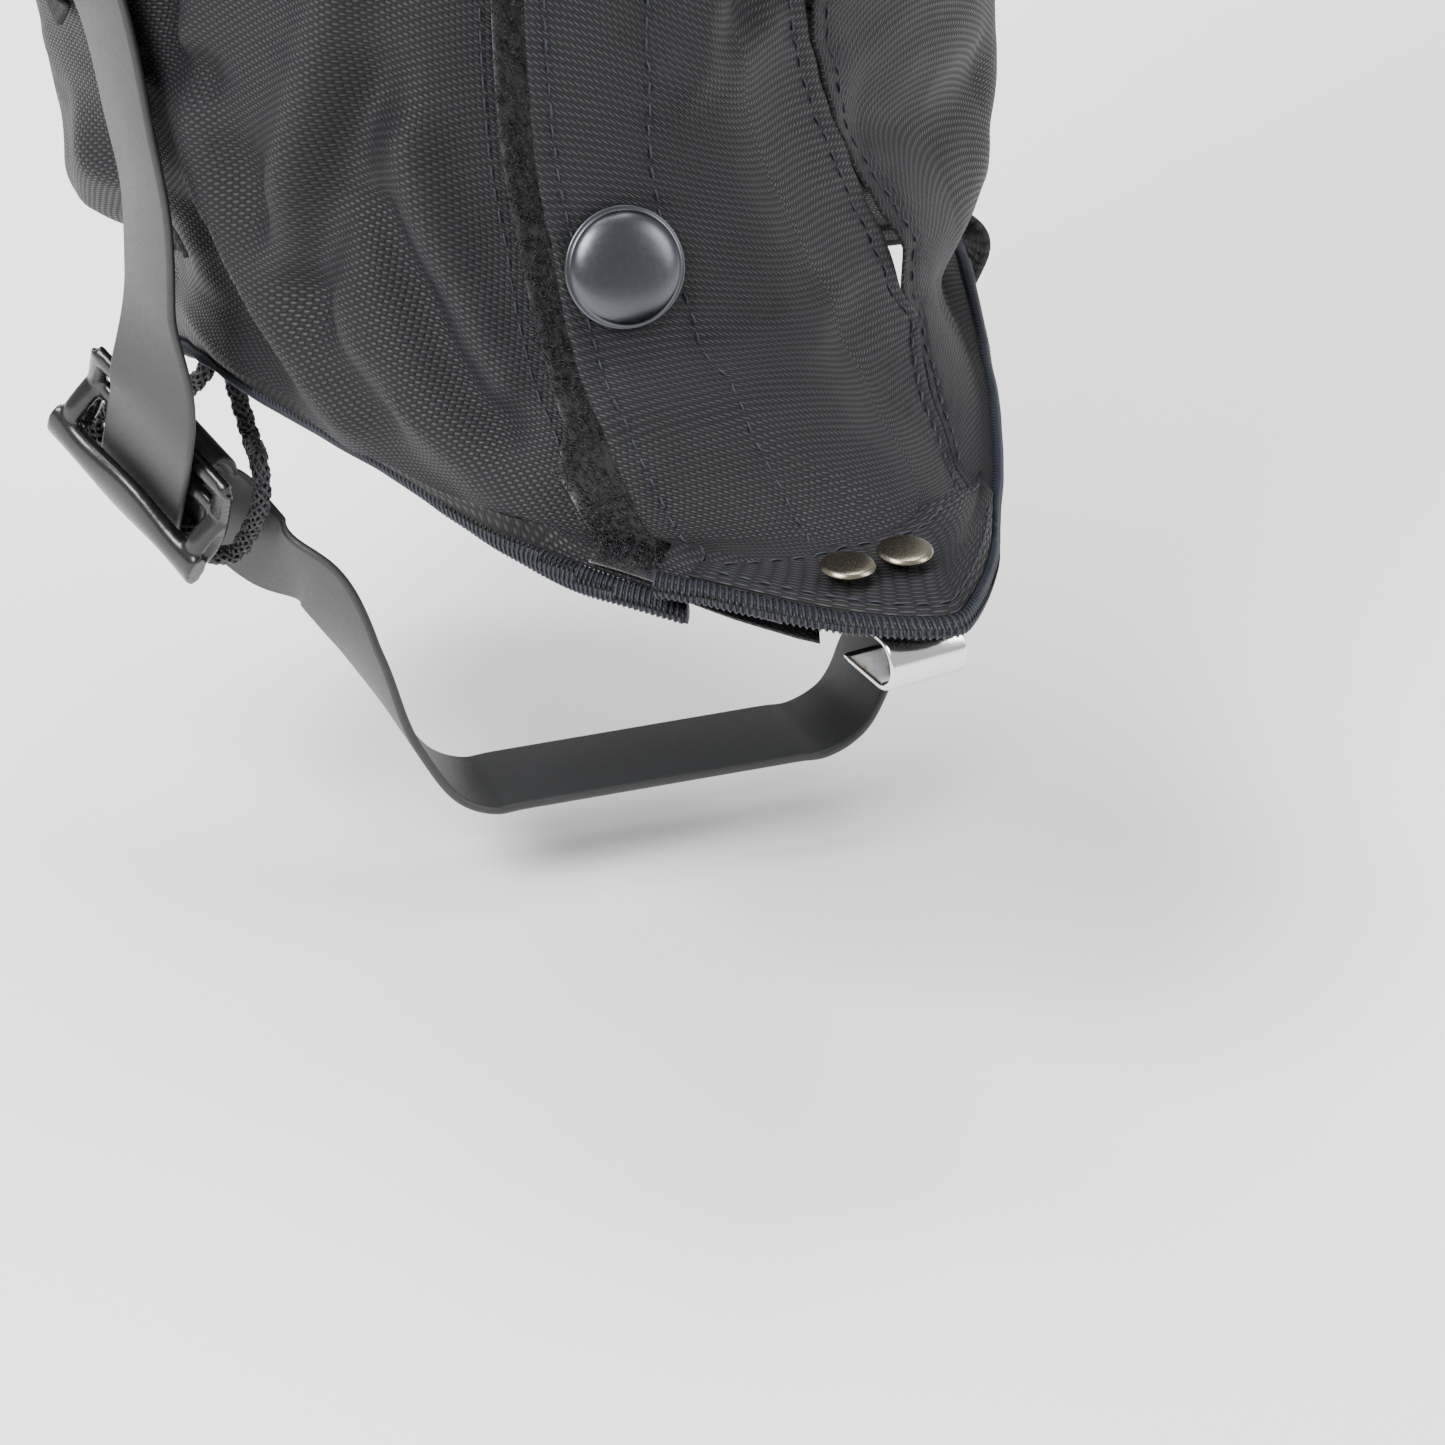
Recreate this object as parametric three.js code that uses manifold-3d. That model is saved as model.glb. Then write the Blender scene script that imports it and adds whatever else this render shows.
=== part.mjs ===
// One knee-high hiking gaiter for the right foot, worn shape, in millimetres.
// +Z is up, -Y points to the toe and +X to the inner (medial) side of the leg.
// The origin is the middle of the instep strap's top face, under the arch of the boot.
//
// The fabric wall is a lofted sleeve. A point on it is named by u, the angle around the leg in
// degrees (0 at the toe, positive to the medial side), and v, the ring number from hem to top.
import * as THREE from "three";
import { mergeVertices } from "three/addons/utils/BufferGeometryUtils.js";
import Module from "manifold-3d";

const wasm = await Module();
wasm.setup();

// ---------------------------------------------------------------- driving dimensions
const FABRIC = 1.2; // wall of each fabric solid
const TAPE = 1.2; // hook or loop tape
const LAYER_GAP = 0.3;
const SEAM_GAP = 0.5; // degrees left between panels that meet at a seam
const TOP = 9; // ring number of the top edge
const FLAP_LIFT = 5.0; // the closing flap lies this far outside the sleeve
const FLAP_FLAT = 16; // degrees of the flap at full lift
const FLAP_FADE = 14; // degrees over which it comes back down to the sleeve
const SIDE_SEAM = 75; // u of the medial side seam, where the front opens
const CALF_SEAM = 235; // u of the lateral rear seam
const SNAP_RADIUS = 8.75;
const RIVET_RADIUS = 4.0;
const STRAP_WIDTH = 18;
const STRAP_THICK = 1.4;
const CORD_RADIUS = 1.4;
const HOOK_WIDTH = 12;
const HOOK_PLATE = 1.0;
const HOOK_BEND = 3.5; // centre-line radius of the lace hook's bend

// One row for each ring of the sleeve, from the hem to the top edge. Widths and depths are those
// of a superellipse, skew moves the front sideways, and the exponents shape its two front quarters.
const RING_FIELDS = [
  "centreY", "frontY", "rearY", "left", "right",
  "frontZ", "sideZ", "rearZ", "skew", "leftPower", "rightPower",
];
const RINGS = [
  [25, -107.5, 97, 61.5, 57, 68, 68.5, 36, 6.5, 1.6, 1.15],
  [28, -83, 98, 64, 52, 70.5, 73.5, 46, 8.5, 1.94, 1.3],
  [30, -60, 98, 64, 56.5, 87.5, 79, 58, -13.5, 1.9, 1.73],
  [33, -48, 98, 69, 63.5, 110, 89, 76, -22, 1.85, 1.81],
  [36, -41, 108, 76, 65, 138, 108, 100, -24, 1.9, 1.85],
  [39, -36, 113, 79, 69, 175, 150, 145, -22, 1.95, 1.9],
  [40, -33, 115, 74, 70, 230, 215, 213, -16, 2, 2],
  [41, -36, 121, 73, 71, 300, 290, 290, -10, 2, 2],
  [41, -38, 121, 73, 72, 360, 355, 355, -5, 2, 2],
  [40, -35, 114, 70, 69, 413, 413, 413, 0, 2, 2],
];
const ROWS = [0, 0.4, 0.8, 1.2, 1.6, 2, 2.5, 3, 3.5, 4.2, 5, 6, 7, 8, 9];

// Edges that run up the sleeve, as [v, u] pairs joined by straight lines.
const FLAP_EDGE = [[0, -16], [1, -16.5], [1.3, -14.8], [1.9, -9.4], [2.4, -7.4], [3, -6], [9, -6]];
const FRONT_SEAM = [[0, 8.5], [1, 9.5], [1.3, 17], [1.8, 29], [2.3, 32], [2.9, 29.5], [3.8, 26], [9, 24]];
const UNDERLAP = [[0, 9], [0.6, 9], [1.6, 17], [9, 19]]; // lateral panel under the flap
// The toe patch's upper edge, as [u, v] pairs.
const TOE_PATCH_TOP = [[-14, 0.2], [-9.8, 0.64], [-4.9, 0.95], [2.5, 1.09], [6.8, 1.02], [14, 0.6]];

const LOWER_SNAP = { u: -0.5, v: 2.84 };
const UPPER_SNAP = { u: 0.5, v: 8.3 };
const PATCH_RIVETS = [{ u: -5.5, v: 0.37 }, { u: -1.8, v: 0.59 }];

// The slider's own directions: along its bars, along the strap, and away from the leg.
const BAR_DIR = new THREE.Vector3(0.43, -0.745, -0.51).normalize();
const PULL_DIR = new THREE.Vector3(-0.06, -0.588, 0.807).normalize();
const OUT_DIR = new THREE.Vector3().crossVectors(BAR_DIR, PULL_DIR).normalize();
const SLIDER_BAR = new THREE.Vector3(-70.3, 20.4, 50.1); // middle of the strap stack at the outer bar
const STACK = 2.4; // centre line of each strap layer from the slider's middle plane

// ---------------------------------------------------------------- materials
const finish = (color, roughness, metalness = 0) =>
  new THREE.MeshStandardMaterial({ color, roughness, metalness });
const NYLON = finish(0x23242b, 0.75);
const PILE = finish(0x0d0d0f, 0.95);
const BINDING = finish(0x1a1b20, 0.85);
const ELASTIC = finish(0x15161a, 0.9);
const WEBBING = finish(0x18191d, 0.85);
const STRAP = finish(0x45474b, 0.6);
const CORD = finish(0x101012, 0.85);
const PLASTIC = finish(0x141416, 0.3);
const SNAP_METAL = finish(0x3a3c42, 0.35, 1);
const RIVET_METAL = finish(0x6e675c, 0.35, 1);
const NICKEL = finish(0xb9bcc0, 0.2, 1);

// ---------------------------------------------------------------- the sleeve
const clamp = THREE.MathUtils.clamp;
const lerp = THREE.MathUtils.lerp;
const radians = THREE.MathUtils.degToRad;

function along(pairs, x) {
  const next = pairs.findIndex(([at]) => at >= x);
  if (next <= 0) return next < 0 ? pairs[pairs.length - 1][1] : pairs[0][1];
  const [x0, y0] = pairs[next - 1];
  const [x1, y1] = pairs[next];
  return lerp(y0, y1, (x - x0) / (x1 - x0));
}

function catmullRom(a, b, c, d, t) {
  const cubic = (3 * b - a - 3 * c + d) * t * t * t;
  return 0.5 * (2 * b + (c - a) * t + (2 * a - 5 * b + 4 * c - d) * t * t + cubic);
}

function ringAt(v) {
  const i = Math.min(Math.floor(v), TOP - 1);
  const [b, c] = [RINGS[i], RINGS[i + 1]];
  const a = RINGS[i - 1] ?? b.map((value, k) => 2 * value - c[k]);
  const d = RINGS[i + 2] ?? c.map((value, k) => 2 * value - b[k]);
  const values = b.map((value, k) => catmullRom(a[k], value, c[k], d[k], v - i));
  return Object.fromEntries(RING_FIELDS.map((field, k) => [field, values[k]]));
}

function sleevePoint(u, v) {
  const ring = ringAt(clamp(v, 0, TOP));
  const sine = Math.sin(radians(u));
  const cosine = Math.cos(radians(u));
  const width = sine < 0 ? ring.left : ring.right;
  const depth = cosine > 0 ? ring.centreY - ring.frontY : ring.rearY - ring.centreY;
  const frontPower = sine < 0 ? ring.leftPower : ring.rightPower;
  const power = cosine > 0 ? frontPower : 2;
  const sum = (Math.abs(sine) / width) ** power + (Math.abs(cosine) / depth) ** power;
  const reach = sum ** (-1 / power);
  const tilt = (ring.frontZ - ring.rearZ) / 2;
  const saddle = ((ring.frontZ + ring.rearZ) / 2 - ring.sideZ) / 2;
  return new THREE.Vector3(
    reach * sine + ring.skew * Math.max(cosine, 0) ** 3,
    ring.centreY - reach * cosine,
    ring.sideZ + saddle + tilt * cosine + saddle * Math.cos(2 * radians(u)),
  );
}

function sleeveFrame(u, v) {
  const du = 0.3;
  const dv = 0.02;
  const around = sleevePoint(u + du, v).sub(sleevePoint(u - du, v)).normalize();
  const low = sleevePoint(u, Math.max(v - dv, 0));
  const up = sleevePoint(u, Math.min(v + dv, TOP)).sub(low).normalize();
  const out = new THREE.Vector3().crossVectors(around, up).normalize();
  return { around, up, out };
}

const lifted = (u, v, height) =>
  sleevePoint(u, v).addScaledVector(sleeveFrame(u, v).out, height);

const flapEdge = (v) => along(FLAP_EDGE, v);
const frontSeam = (v) => along(FRONT_SEAM, v);
const lateralEdge = (v) => flapEdge(v) + along(UNDERLAP, v);

// How far the front panel lies outside the sleeve: full lift on the flap, none past it.
function flapLift(u, v) {
  const past = (u - flapEdge(v) - FLAP_FLAT) / FLAP_FADE;
  return FLAP_LIFT * (1 - THREE.MathUtils.smoothstep(past, 0, 1));
}

// ---------------------------------------------------------------- solid builders
function geometryOf(points, triangles) {
  const geometry = new THREE.BufferGeometry().setFromPoints(points);
  geometry.setIndex(triangles);
  return geometry;
}

function solidOf(geometry) {
  const bare = geometry.clone().deleteAttribute("normal").deleteAttribute("uv");
  const merged = mergeVertices(bare, 1e-4);
  return new wasm.Manifold(
    new wasm.Mesh({
      numProp: 3,
      vertProperties: merged.attributes.position.array,
      triVerts: new Uint32Array(merged.index.array),
    }),
  );
}

function fromSolid(solid) {
  const mesh = solid.getMesh();
  const geometry = new THREE.BufferGeometry();
  geometry.setAttribute("position", new THREE.BufferAttribute(mesh.vertProperties, 3));
  geometry.setIndex(new THREE.BufferAttribute(mesh.triVerts, 1));
  return geometry;
}

const cut = (geometry, cutters) =>
  fromSolid(cutters.reduce((solid, cutter) => solid.subtract(solidOf(cutter)), solidOf(geometry)));

const join = (...geometries) =>
  fromSolid(geometries.map(solidOf).reduce((sum, solid) => sum.add(solid)));

// A closed sheet of fabric: place(s, t) gives u and v, height(u, v) its inner face.
function sheet(columns, rows, place, height, thickness) {
  const points = [];
  for (const extra of [0, thickness]) {
    for (let j = 0; j <= rows; j++) {
      for (let i = 0; i <= columns; i++) {
        const [u, v] = place(i / columns, j);
        points.push(lifted(u, v, height(u, v) + extra));
      }
    }
  }
  const layer = (columns + 1) * (rows + 1);
  const at = (i, j) => j * (columns + 1) + i;
  const triangles = [];
  for (let j = 0; j < rows; j++) {
    for (let i = 0; i < columns; i++) {
      const corners = [at(i, j), at(i + 1, j), at(i + 1, j + 1), at(i, j + 1)];
      const [a, b, c, d] = corners;
      triangles.push(a, c, b, a, d, c);
      triangles.push(layer + a, layer + b, layer + c, layer + a, layer + c, layer + d);
    }
  }
  const rim = [];
  for (let i = 0; i < columns; i++) rim.push(at(i, 0));
  for (let j = 0; j < rows; j++) rim.push(at(columns, j));
  for (let i = columns; i > 0; i--) rim.push(at(i, rows));
  for (let j = rows; j > 0; j--) rim.push(at(0, j));
  rim.forEach((a, k) => {
    const b = rim[(k + 1) % rim.length];
    triangles.push(a, b, layer + b, a, layer + b, layer + a);
  });
  return geometryOf(points, triangles);
}

// A fabric panel from edge left(v) to edge right(v), over the rows between two ring numbers.
function panel({ left, right, columns, from = 0, to = TOP, height = () => 0, thickness = FABRIC }) {
  const inside = ROWS.filter((v) => v > from && v < to);
  const levels = [from, ...inside, to];
  const place = (s, j) => [lerp(left(levels[j]), right(levels[j]), s), levels[j]];
  return sheet(columns, levels.length - 1, place, height, thickness);
}

// Joins closed cross-sections, each a list of points, and caps both ends.
function loft(sections, profile) {
  if (THREE.ShapeUtils.isClockWise(profile)) {
    return loft(sections.map((section) => section.toReversed()), profile.toReversed());
  }
  const size = profile.length;
  const triangles = [];
  for (let k = 0; k < sections.length - 1; k++) {
    for (let i = 0; i < size; i++) {
      const [a, b] = [k * size + i, k * size + ((i + 1) % size)];
      triangles.push(a, b, b + size, a, b + size, a + size);
    }
  }
  const last = (sections.length - 1) * size;
  for (const [a, b, c] of THREE.ShapeUtils.triangulateShape(profile, [])) {
    triangles.push(a, c, b);
    triangles.push(last + a, last + b, last + c);
  }
  return geometryOf(sections.flat(), triangles);
}

const profileOf = (pairs) => pairs.map(([x, y]) => new THREE.Vector2(x, y));

const spread = (from, to, steps) =>
  Array.from({ length: steps + 1 }, (_, k) => lerp(from, to, k / steps));

// A profile of [up, out] pairs swept around the sleeve at ring number v, through the stops in u.
function band({ stops, v, pairs, height = () => 0 }) {
  const profile = profileOf(pairs);
  const sections = stops.map((u) => {
    const { up, out } = sleeveFrame(u, v);
    const base = sleevePoint(u, v).addScaledVector(out, height(u, v));
    return profile.map(({ x, y }) => base.clone().addScaledVector(up, x).addScaledVector(out, y));
  });
  return loft(sections, profile);
}

// A flat strap along a list of { at, wide } stations, wide being its width direction there.
function ribbon(stations, width, thickness, steps) {
  const path = new THREE.CatmullRomCurve3(stations.map(({ at }) => at), false, "centripetal");
  const sides = new THREE.CatmullRomCurve3(stations.map(({ wide }) => wide), false, "centripetal");
  const [w, h] = [width / 2, thickness / 2];
  const profile = profileOf([[-w, -h], [w, -h], [w, h], [-w, h]]);
  const sections = [];
  for (let k = 0; k <= steps; k++) {
    const t = k / steps;
    const tangent = path.getTangent(t);
    const wide = sides.getPoint(t);
    wide.addScaledVector(tangent, -wide.dot(tangent)).normalize();
    const face = new THREE.Vector3().crossVectors(tangent, wide);
    const centre = path.getPoint(t);
    const point = ({ x, y }) => centre.clone().addScaledVector(wide, x).addScaledVector(face, y);
    sections.push(profile.map(point));
  }
  return loft(sections, profile);
}

function cord(points, radius, steps) {
  const sides = 8;
  const corner = (k) => {
    const angle = (2 * Math.PI * k) / sides;
    return new THREE.Vector2(radius * Math.cos(angle), radius * Math.sin(angle));
  };
  const circle = new THREE.Shape(Array.from({ length: sides }, (_, k) => corner(k)));
  const extrudePath = new THREE.CatmullRomCurve3(points, false, "centripetal");
  return new THREE.ExtrudeGeometry(circle, { steps, bevelEnabled: false, extrudePath });
}

// A turned piece from [radius, height] pairs that start and end on the axis, or close on themselves.
const turned = (pairs, segments = 20) => new THREE.LatheGeometry(profileOf(pairs), segments);

const vector = (x, y, z) => new THREE.Vector3(x, y, z);
const AXIS = vector(0, 1, 0);

function aimed(geometry, position, direction) {
  const turn = new THREE.Quaternion().setFromUnitVectors(AXIS, direction);
  return geometry.clone().applyQuaternion(turn).translate(position.x, position.y, position.z);
}

const gaiter = new THREE.Group();

function add(name, geometry, material) {
  const mesh = new THREE.Mesh(geometry, material);
  mesh.name = name;
  gaiter.add(mesh);
  return mesh;
}

function addTurned(name, pairs, material, place) {
  const mesh = add(name, turned(pairs), material);
  mesh.position.copy(place.position);
  mesh.quaternion.setFromUnitVectors(AXIS, place.direction);
  return mesh;
}

// ---------------------------------------------------------------- fastener places
// Each fastener stands on the sleeve at u and v, with its axis along the sleeve's normal.
const placeAt = ({ u, v }) => ({ position: sleevePoint(u, v), direction: sleeveFrame(u, v).out });
const lowerSnap = placeAt(LOWER_SNAP);
const upperSnap = placeAt(UPPER_SNAP);
const patchRivets = PATCH_RIVETS.map(placeAt);

const HOLE_REACH = 24;
const hole = ({ position, direction }, radius) =>
  aimed(new THREE.CylinderGeometry(radius, radius, HOLE_REACH, 16), position, direction);

const SNAP_WELL = 7.0; // clearance hole in both tapes around a snap
const SNAP_SHANK_HOLE = 2.4;
const RIVET_HOLE = 1.6;
const snaps = [lowerSnap, upperSnap];
const snapHoles = (radius) => snaps.map((place) => hole(place, radius));
const rivetHoles = () => patchRivets.map((place) => hole(place, RIVET_HOLE));

// ---------------------------------------------------------------- fabric panels
const LATERAL_COLUMNS = 22;
const CALF_COLUMNS = 20;
const MEDIAL_COLUMNS = 8;
const FLAP_COLUMNS = 12;
add("lateral_panel", cut(panel({
  left: () => CALF_SEAM - 360 + SEAM_GAP,
  right: lateralEdge,
  columns: LATERAL_COLUMNS,
}), snapHoles(SNAP_SHANK_HOLE)), NYLON);

add("calf_panel", panel({
  left: () => SIDE_SEAM + SEAM_GAP,
  right: () => CALF_SEAM - SEAM_GAP,
  columns: CALF_COLUMNS,
}), NYLON);

add("medial_panel", panel({
  left: (v) => frontSeam(v) + SEAM_GAP,
  right: () => SIDE_SEAM - SEAM_GAP,
  columns: MEDIAL_COLUMNS,
  height: flapLift,
}), NYLON);

add("front_flap_panel", cut(panel({
  left: flapEdge,
  right: (v) => frontSeam(v) - SEAM_GAP,
  columns: FLAP_COLUMNS,
  height: flapLift,
}), [...snapHoles(SNAP_SHANK_HOLE), ...rivetHoles()]), NYLON);

const PATCH_FROM = -14;
const PATCH_TO = 14;
const PATCH_ROWS = 3;
const PATCH_GAP = 1.0;
const PATCH_START = 0.08; // ring number of the patch's lower edge
function patchPlace(s, j) {
  const u = lerp(PATCH_FROM, PATCH_TO, s);
  return [u, lerp(PATCH_START, along(TOE_PATCH_TOP, u), j / PATCH_ROWS)];
}
const patchHeight = (u, v) => flapLift(u, v) + FABRIC + PATCH_GAP;
add("toe_patch",
  cut(sheet(12, PATCH_ROWS, patchPlace, patchHeight, FABRIC), rivetHoles()), NYLON);

// ---------------------------------------------------------------- hook-and-loop tapes
const TAPE_FROM = 0.3;
const TAPE_TO = 8.9;
const loopHeight = () => FABRIC + LAYER_GAP + 0.05;
const hookHeight = () => FLAP_LIFT - TAPE - 0.4;
const tapeInset = 2;

add("loop_tape", cut(panel({
  left: (v) => flapEdge(v) - 3.2,
  right: (v) => lateralEdge(v) - tapeInset,
  columns: 4,
  from: TAPE_FROM,
  to: TAPE_TO,
  height: loopHeight,
  thickness: TAPE,
}), snapHoles(SNAP_WELL)), PILE);

add("hook_tape", cut(panel({
  left: (v) => flapEdge(v) + 1.5,
  right: (v) => lateralEdge(v) - tapeInset,
  columns: 4,
  from: TAPE_FROM,
  to: TAPE_TO,
  height: hookHeight,
  thickness: TAPE,
}), snapHoles(SNAP_WELL)), PILE);

// ---------------------------------------------------------------- bindings, casings, elastics
const MID_FABRIC = FABRIC / 2;
const HEM_PROFILE = [[-3.6, -0.7], [-3.6, 0.7], [-2.9, 1.3], [-0.6, 1.3], [-0.6, -1.3], [-2.9, -1.3]];
// Bands share the column edges of the panels that they finish.
const rearStops = (v, stop) => [
  ...spread(SIDE_SEAM + SEAM_GAP, CALF_SEAM - SEAM_GAP, CALF_COLUMNS),
  ...spread(CALF_SEAM + SEAM_GAP, 360 + lateralEdge(v), LATERAL_COLUMNS).filter((u) => u < stop),
];
const frontStops = (v) => [
  ...spread(flapEdge(v), frontSeam(v) - SEAM_GAP, FLAP_COLUMNS),
  ...spread(frontSeam(v) + SEAM_GAP, SIDE_SEAM - SEAM_GAP, MEDIAL_COLUMNS),
];

add("hem_binding_rear", band({
  stops: rearStops(0, 360),
  v: 0,
  pairs: HEM_PROFILE,
  height: () => MID_FABRIC,
}), BINDING);

add("hem_binding_front", band({
  stops: frontStops(0),
  v: 0,
  pairs: HEM_PROFILE,
  height: (u, v) => flapLift(u, v) + MID_FABRIC,
}), BINDING);

const CASING_DEPTH = 22;
const CASING_TOP = 2.6;
const CASING_LEG = 1.1;
const outerLeg = FABRIC + LAYER_GAP;
const innerLeg = -2.2;
const CASING_PROFILE = [
  [-CASING_DEPTH, outerLeg], [-CASING_DEPTH, outerLeg + CASING_LEG],
  [CASING_TOP, outerLeg + CASING_LEG], [CASING_TOP, innerLeg - CASING_LEG],
  [-CASING_DEPTH, innerLeg - CASING_LEG], [-CASING_DEPTH, innerLeg],
  [LAYER_GAP + 0.4, innerLeg], [LAYER_GAP + 0.4, outerLeg],
];
const CASING_STOP = 360 + flapEdge(TOP) - 5;

add("top_casing_rear", band({
  stops: rearStops(TOP, CASING_STOP),
  v: TOP,
  pairs: CASING_PROFILE,
}), NYLON);

add("top_casing_front", band({
  stops: frontStops(TOP),
  v: TOP,
  pairs: [
    [-CASING_DEPTH, outerLeg], [-CASING_DEPTH, outerLeg + CASING_LEG],
    [CASING_TOP, outerLeg + CASING_LEG], [CASING_TOP, outerLeg],
  ],
  height: flapLift,
}), NYLON);

const elasticProfile = (halfWidth, inner, outer) =>
  [[-halfWidth, inner], [-halfWidth, outer], [halfWidth, outer], [halfWidth, inner]];

add("top_elastic", band({
  stops: spread(SIDE_SEAM + 4, CASING_STOP - 12, 36),
  v: TOP - 0.17,
  pairs: elasticProfile(6, -1.75, -0.45),
}), ELASTIC);

add("ankle_elastic", band({
  stops: spread(SIDE_SEAM + 6, 285, 32),
  v: 3,
  pairs: elasticProfile(7, -3.0, -1.8),
}), ELASTIC);

// ---------------------------------------------------------------- snaps
// A snap is a domed cap with its shank, a ring socket, a ball stud, and the stud's back plate.
function snap(prefix, place) {
  const r = SNAP_RADIUS;
  addTurned(prefix + "_cap", [
    [0, 4.5], [1.8, 4.5], [1.8, 7.0], [r - 0.9, 7.0], [r, 7.5], [r - 0.3, 8.4],
    [r - 2.4, 9.5], [r - 5, 10.1], [0, 10.3],
  ], SNAP_METAL, place);
  addTurned(prefix + "_socket", [
    [3.0, 3.6], [6.0, 3.6], [6.0, 4.25], [3.0, 4.25], [3.0, 3.6],
  ], SNAP_METAL, place);
  addTurned(prefix + "_stud", [
    [0, 1.9], [6.0, 1.9], [6.0, 2.6], [1.9, 2.6], [2.1, 3.3], [1.7, 3.9], [0, 4.05],
  ], SNAP_METAL, place);
  addTurned(prefix + "_back_plate", [
    [0, -2.0], [5.0, -2.0], [5.0, -0.9], [2.0, -0.9], [2.0, 1.5], [0, 1.5],
  ], SNAP_METAL, place);
}
snap("lower_snap", lowerSnap);
snap("upper_snap", upperSnap);

// ---------------------------------------------------------------- toe patch rivets and lace hook
const patchTop = FLAP_LIFT + 2 * FABRIC + PATCH_GAP;
patchRivets.forEach((place, k) => {
  const head = patchTop + 0.5;
  addTurned("patch_rivet_cap_" + (k + 1), [
    [0, 1.35], [1.2, 1.35], [1.2, head], [RIVET_RADIUS - 0.3, head], [RIVET_RADIUS, head + 0.4],
    [RIVET_RADIUS - 0.6, head + 0.9], [0, head + 1.2],
  ], RIVET_METAL, place);
  addTurned("patch_rivet_burr_" + (k + 1), [
    [1.5, 1.3], [2.6, 1.3], [2.6, 2.1], [1.5, 2.1], [1.5, 1.3],
  ], RIVET_METAL, place);
});

// The hook plate lies under the front panel and bends back under itself at its front end.
const HOOK_TOP = 3.6; // height of the plate's upper face over the sleeve
const HOOK_BACK = -6; // plate end behind the rivets
const HOOK_FRONT = 11; // start of the bend in front of the rivets
const HOOK_LIP = 9; // length of the lip that comes back under the lace
function laceHookProfile() {
  const middle = HOOK_PLATE / 2;
  const shape = new THREE.Shape();
  shape.moveTo(HOOK_BACK, middle);
  shape.lineTo(HOOK_FRONT, middle);
  shape.absarc(HOOK_FRONT, -HOOK_BEND, HOOK_BEND + middle, Math.PI / 2, -Math.PI / 2, true);
  shape.lineTo(HOOK_FRONT - HOOK_LIP, -2 * HOOK_BEND - middle);
  shape.lineTo(HOOK_FRONT - HOOK_LIP, -2 * HOOK_BEND + middle);
  shape.lineTo(HOOK_FRONT, -2 * HOOK_BEND + middle);
  shape.absarc(HOOK_FRONT, -HOOK_BEND, HOOK_BEND - middle, -Math.PI / 2, Math.PI / 2, false);
  shape.lineTo(HOOK_BACK, -middle);
  return shape;
}

const rivetMiddle = patchRivets[0].position.clone().lerp(patchRivets[1].position, 0.5);
const hookUp = patchRivets[0].direction.clone().add(patchRivets[1].direction).normalize();
const hookForward = vector(0.16, -0.97, 0).projectOnPlane(hookUp).normalize();
const hookAcross = new THREE.Vector3().crossVectors(hookForward, hookUp);
const hookBasis = new THREE.Matrix4().makeBasis(hookForward, hookUp, hookAcross);
hookBasis.setPosition(rivetMiddle.clone().addScaledVector(hookUp, HOOK_TOP - HOOK_PLATE / 2));
const hookBlank = new THREE.ExtrudeGeometry(laceHookProfile(), {
  depth: HOOK_WIDTH,
  bevelEnabled: false,
  curveSegments: 10,
});
hookBlank.translate(0, 0, -HOOK_WIDTH / 2).applyMatrix4(hookBasis);
add("lace_hook", cut(hookBlank, rivetHoles()), NICKEL);

// ---------------------------------------------------------------- instep strap
// Points in the slider are given along its bars, along the strap and away from the leg.
const inSlider = (alongBar, alongStrap, outward) =>
  SLIDER_BAR.clone()
    .addScaledVector(BAR_DIR, alongBar)
    .addScaledVector(PULL_DIR, alongStrap)
    .addScaledVector(OUT_DIR, outward);

const KEEPER = { u: -76, v: 4.72 };
const TAIL_HEIGHT = 3.6; // strap tail's centre line over the sleeve, inside the keeper
const TOE = vector(0, -1, 0);
const TAIL_WIDE = vector(0.1, -0.72, 0.68);

const station = (at, wide) => ({ at, wide });
const BIGHT_AT = -5.5; // centre of the strap's turn, along the strap
const bightStations = [-60, 0, 60].map((degrees) => {
  const angle = radians(degrees);
  const back = BIGHT_AT - STACK * Math.cos(angle);
  return station(inSlider(0, back, STACK * Math.sin(angle)), BAR_DIR);
});

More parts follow.
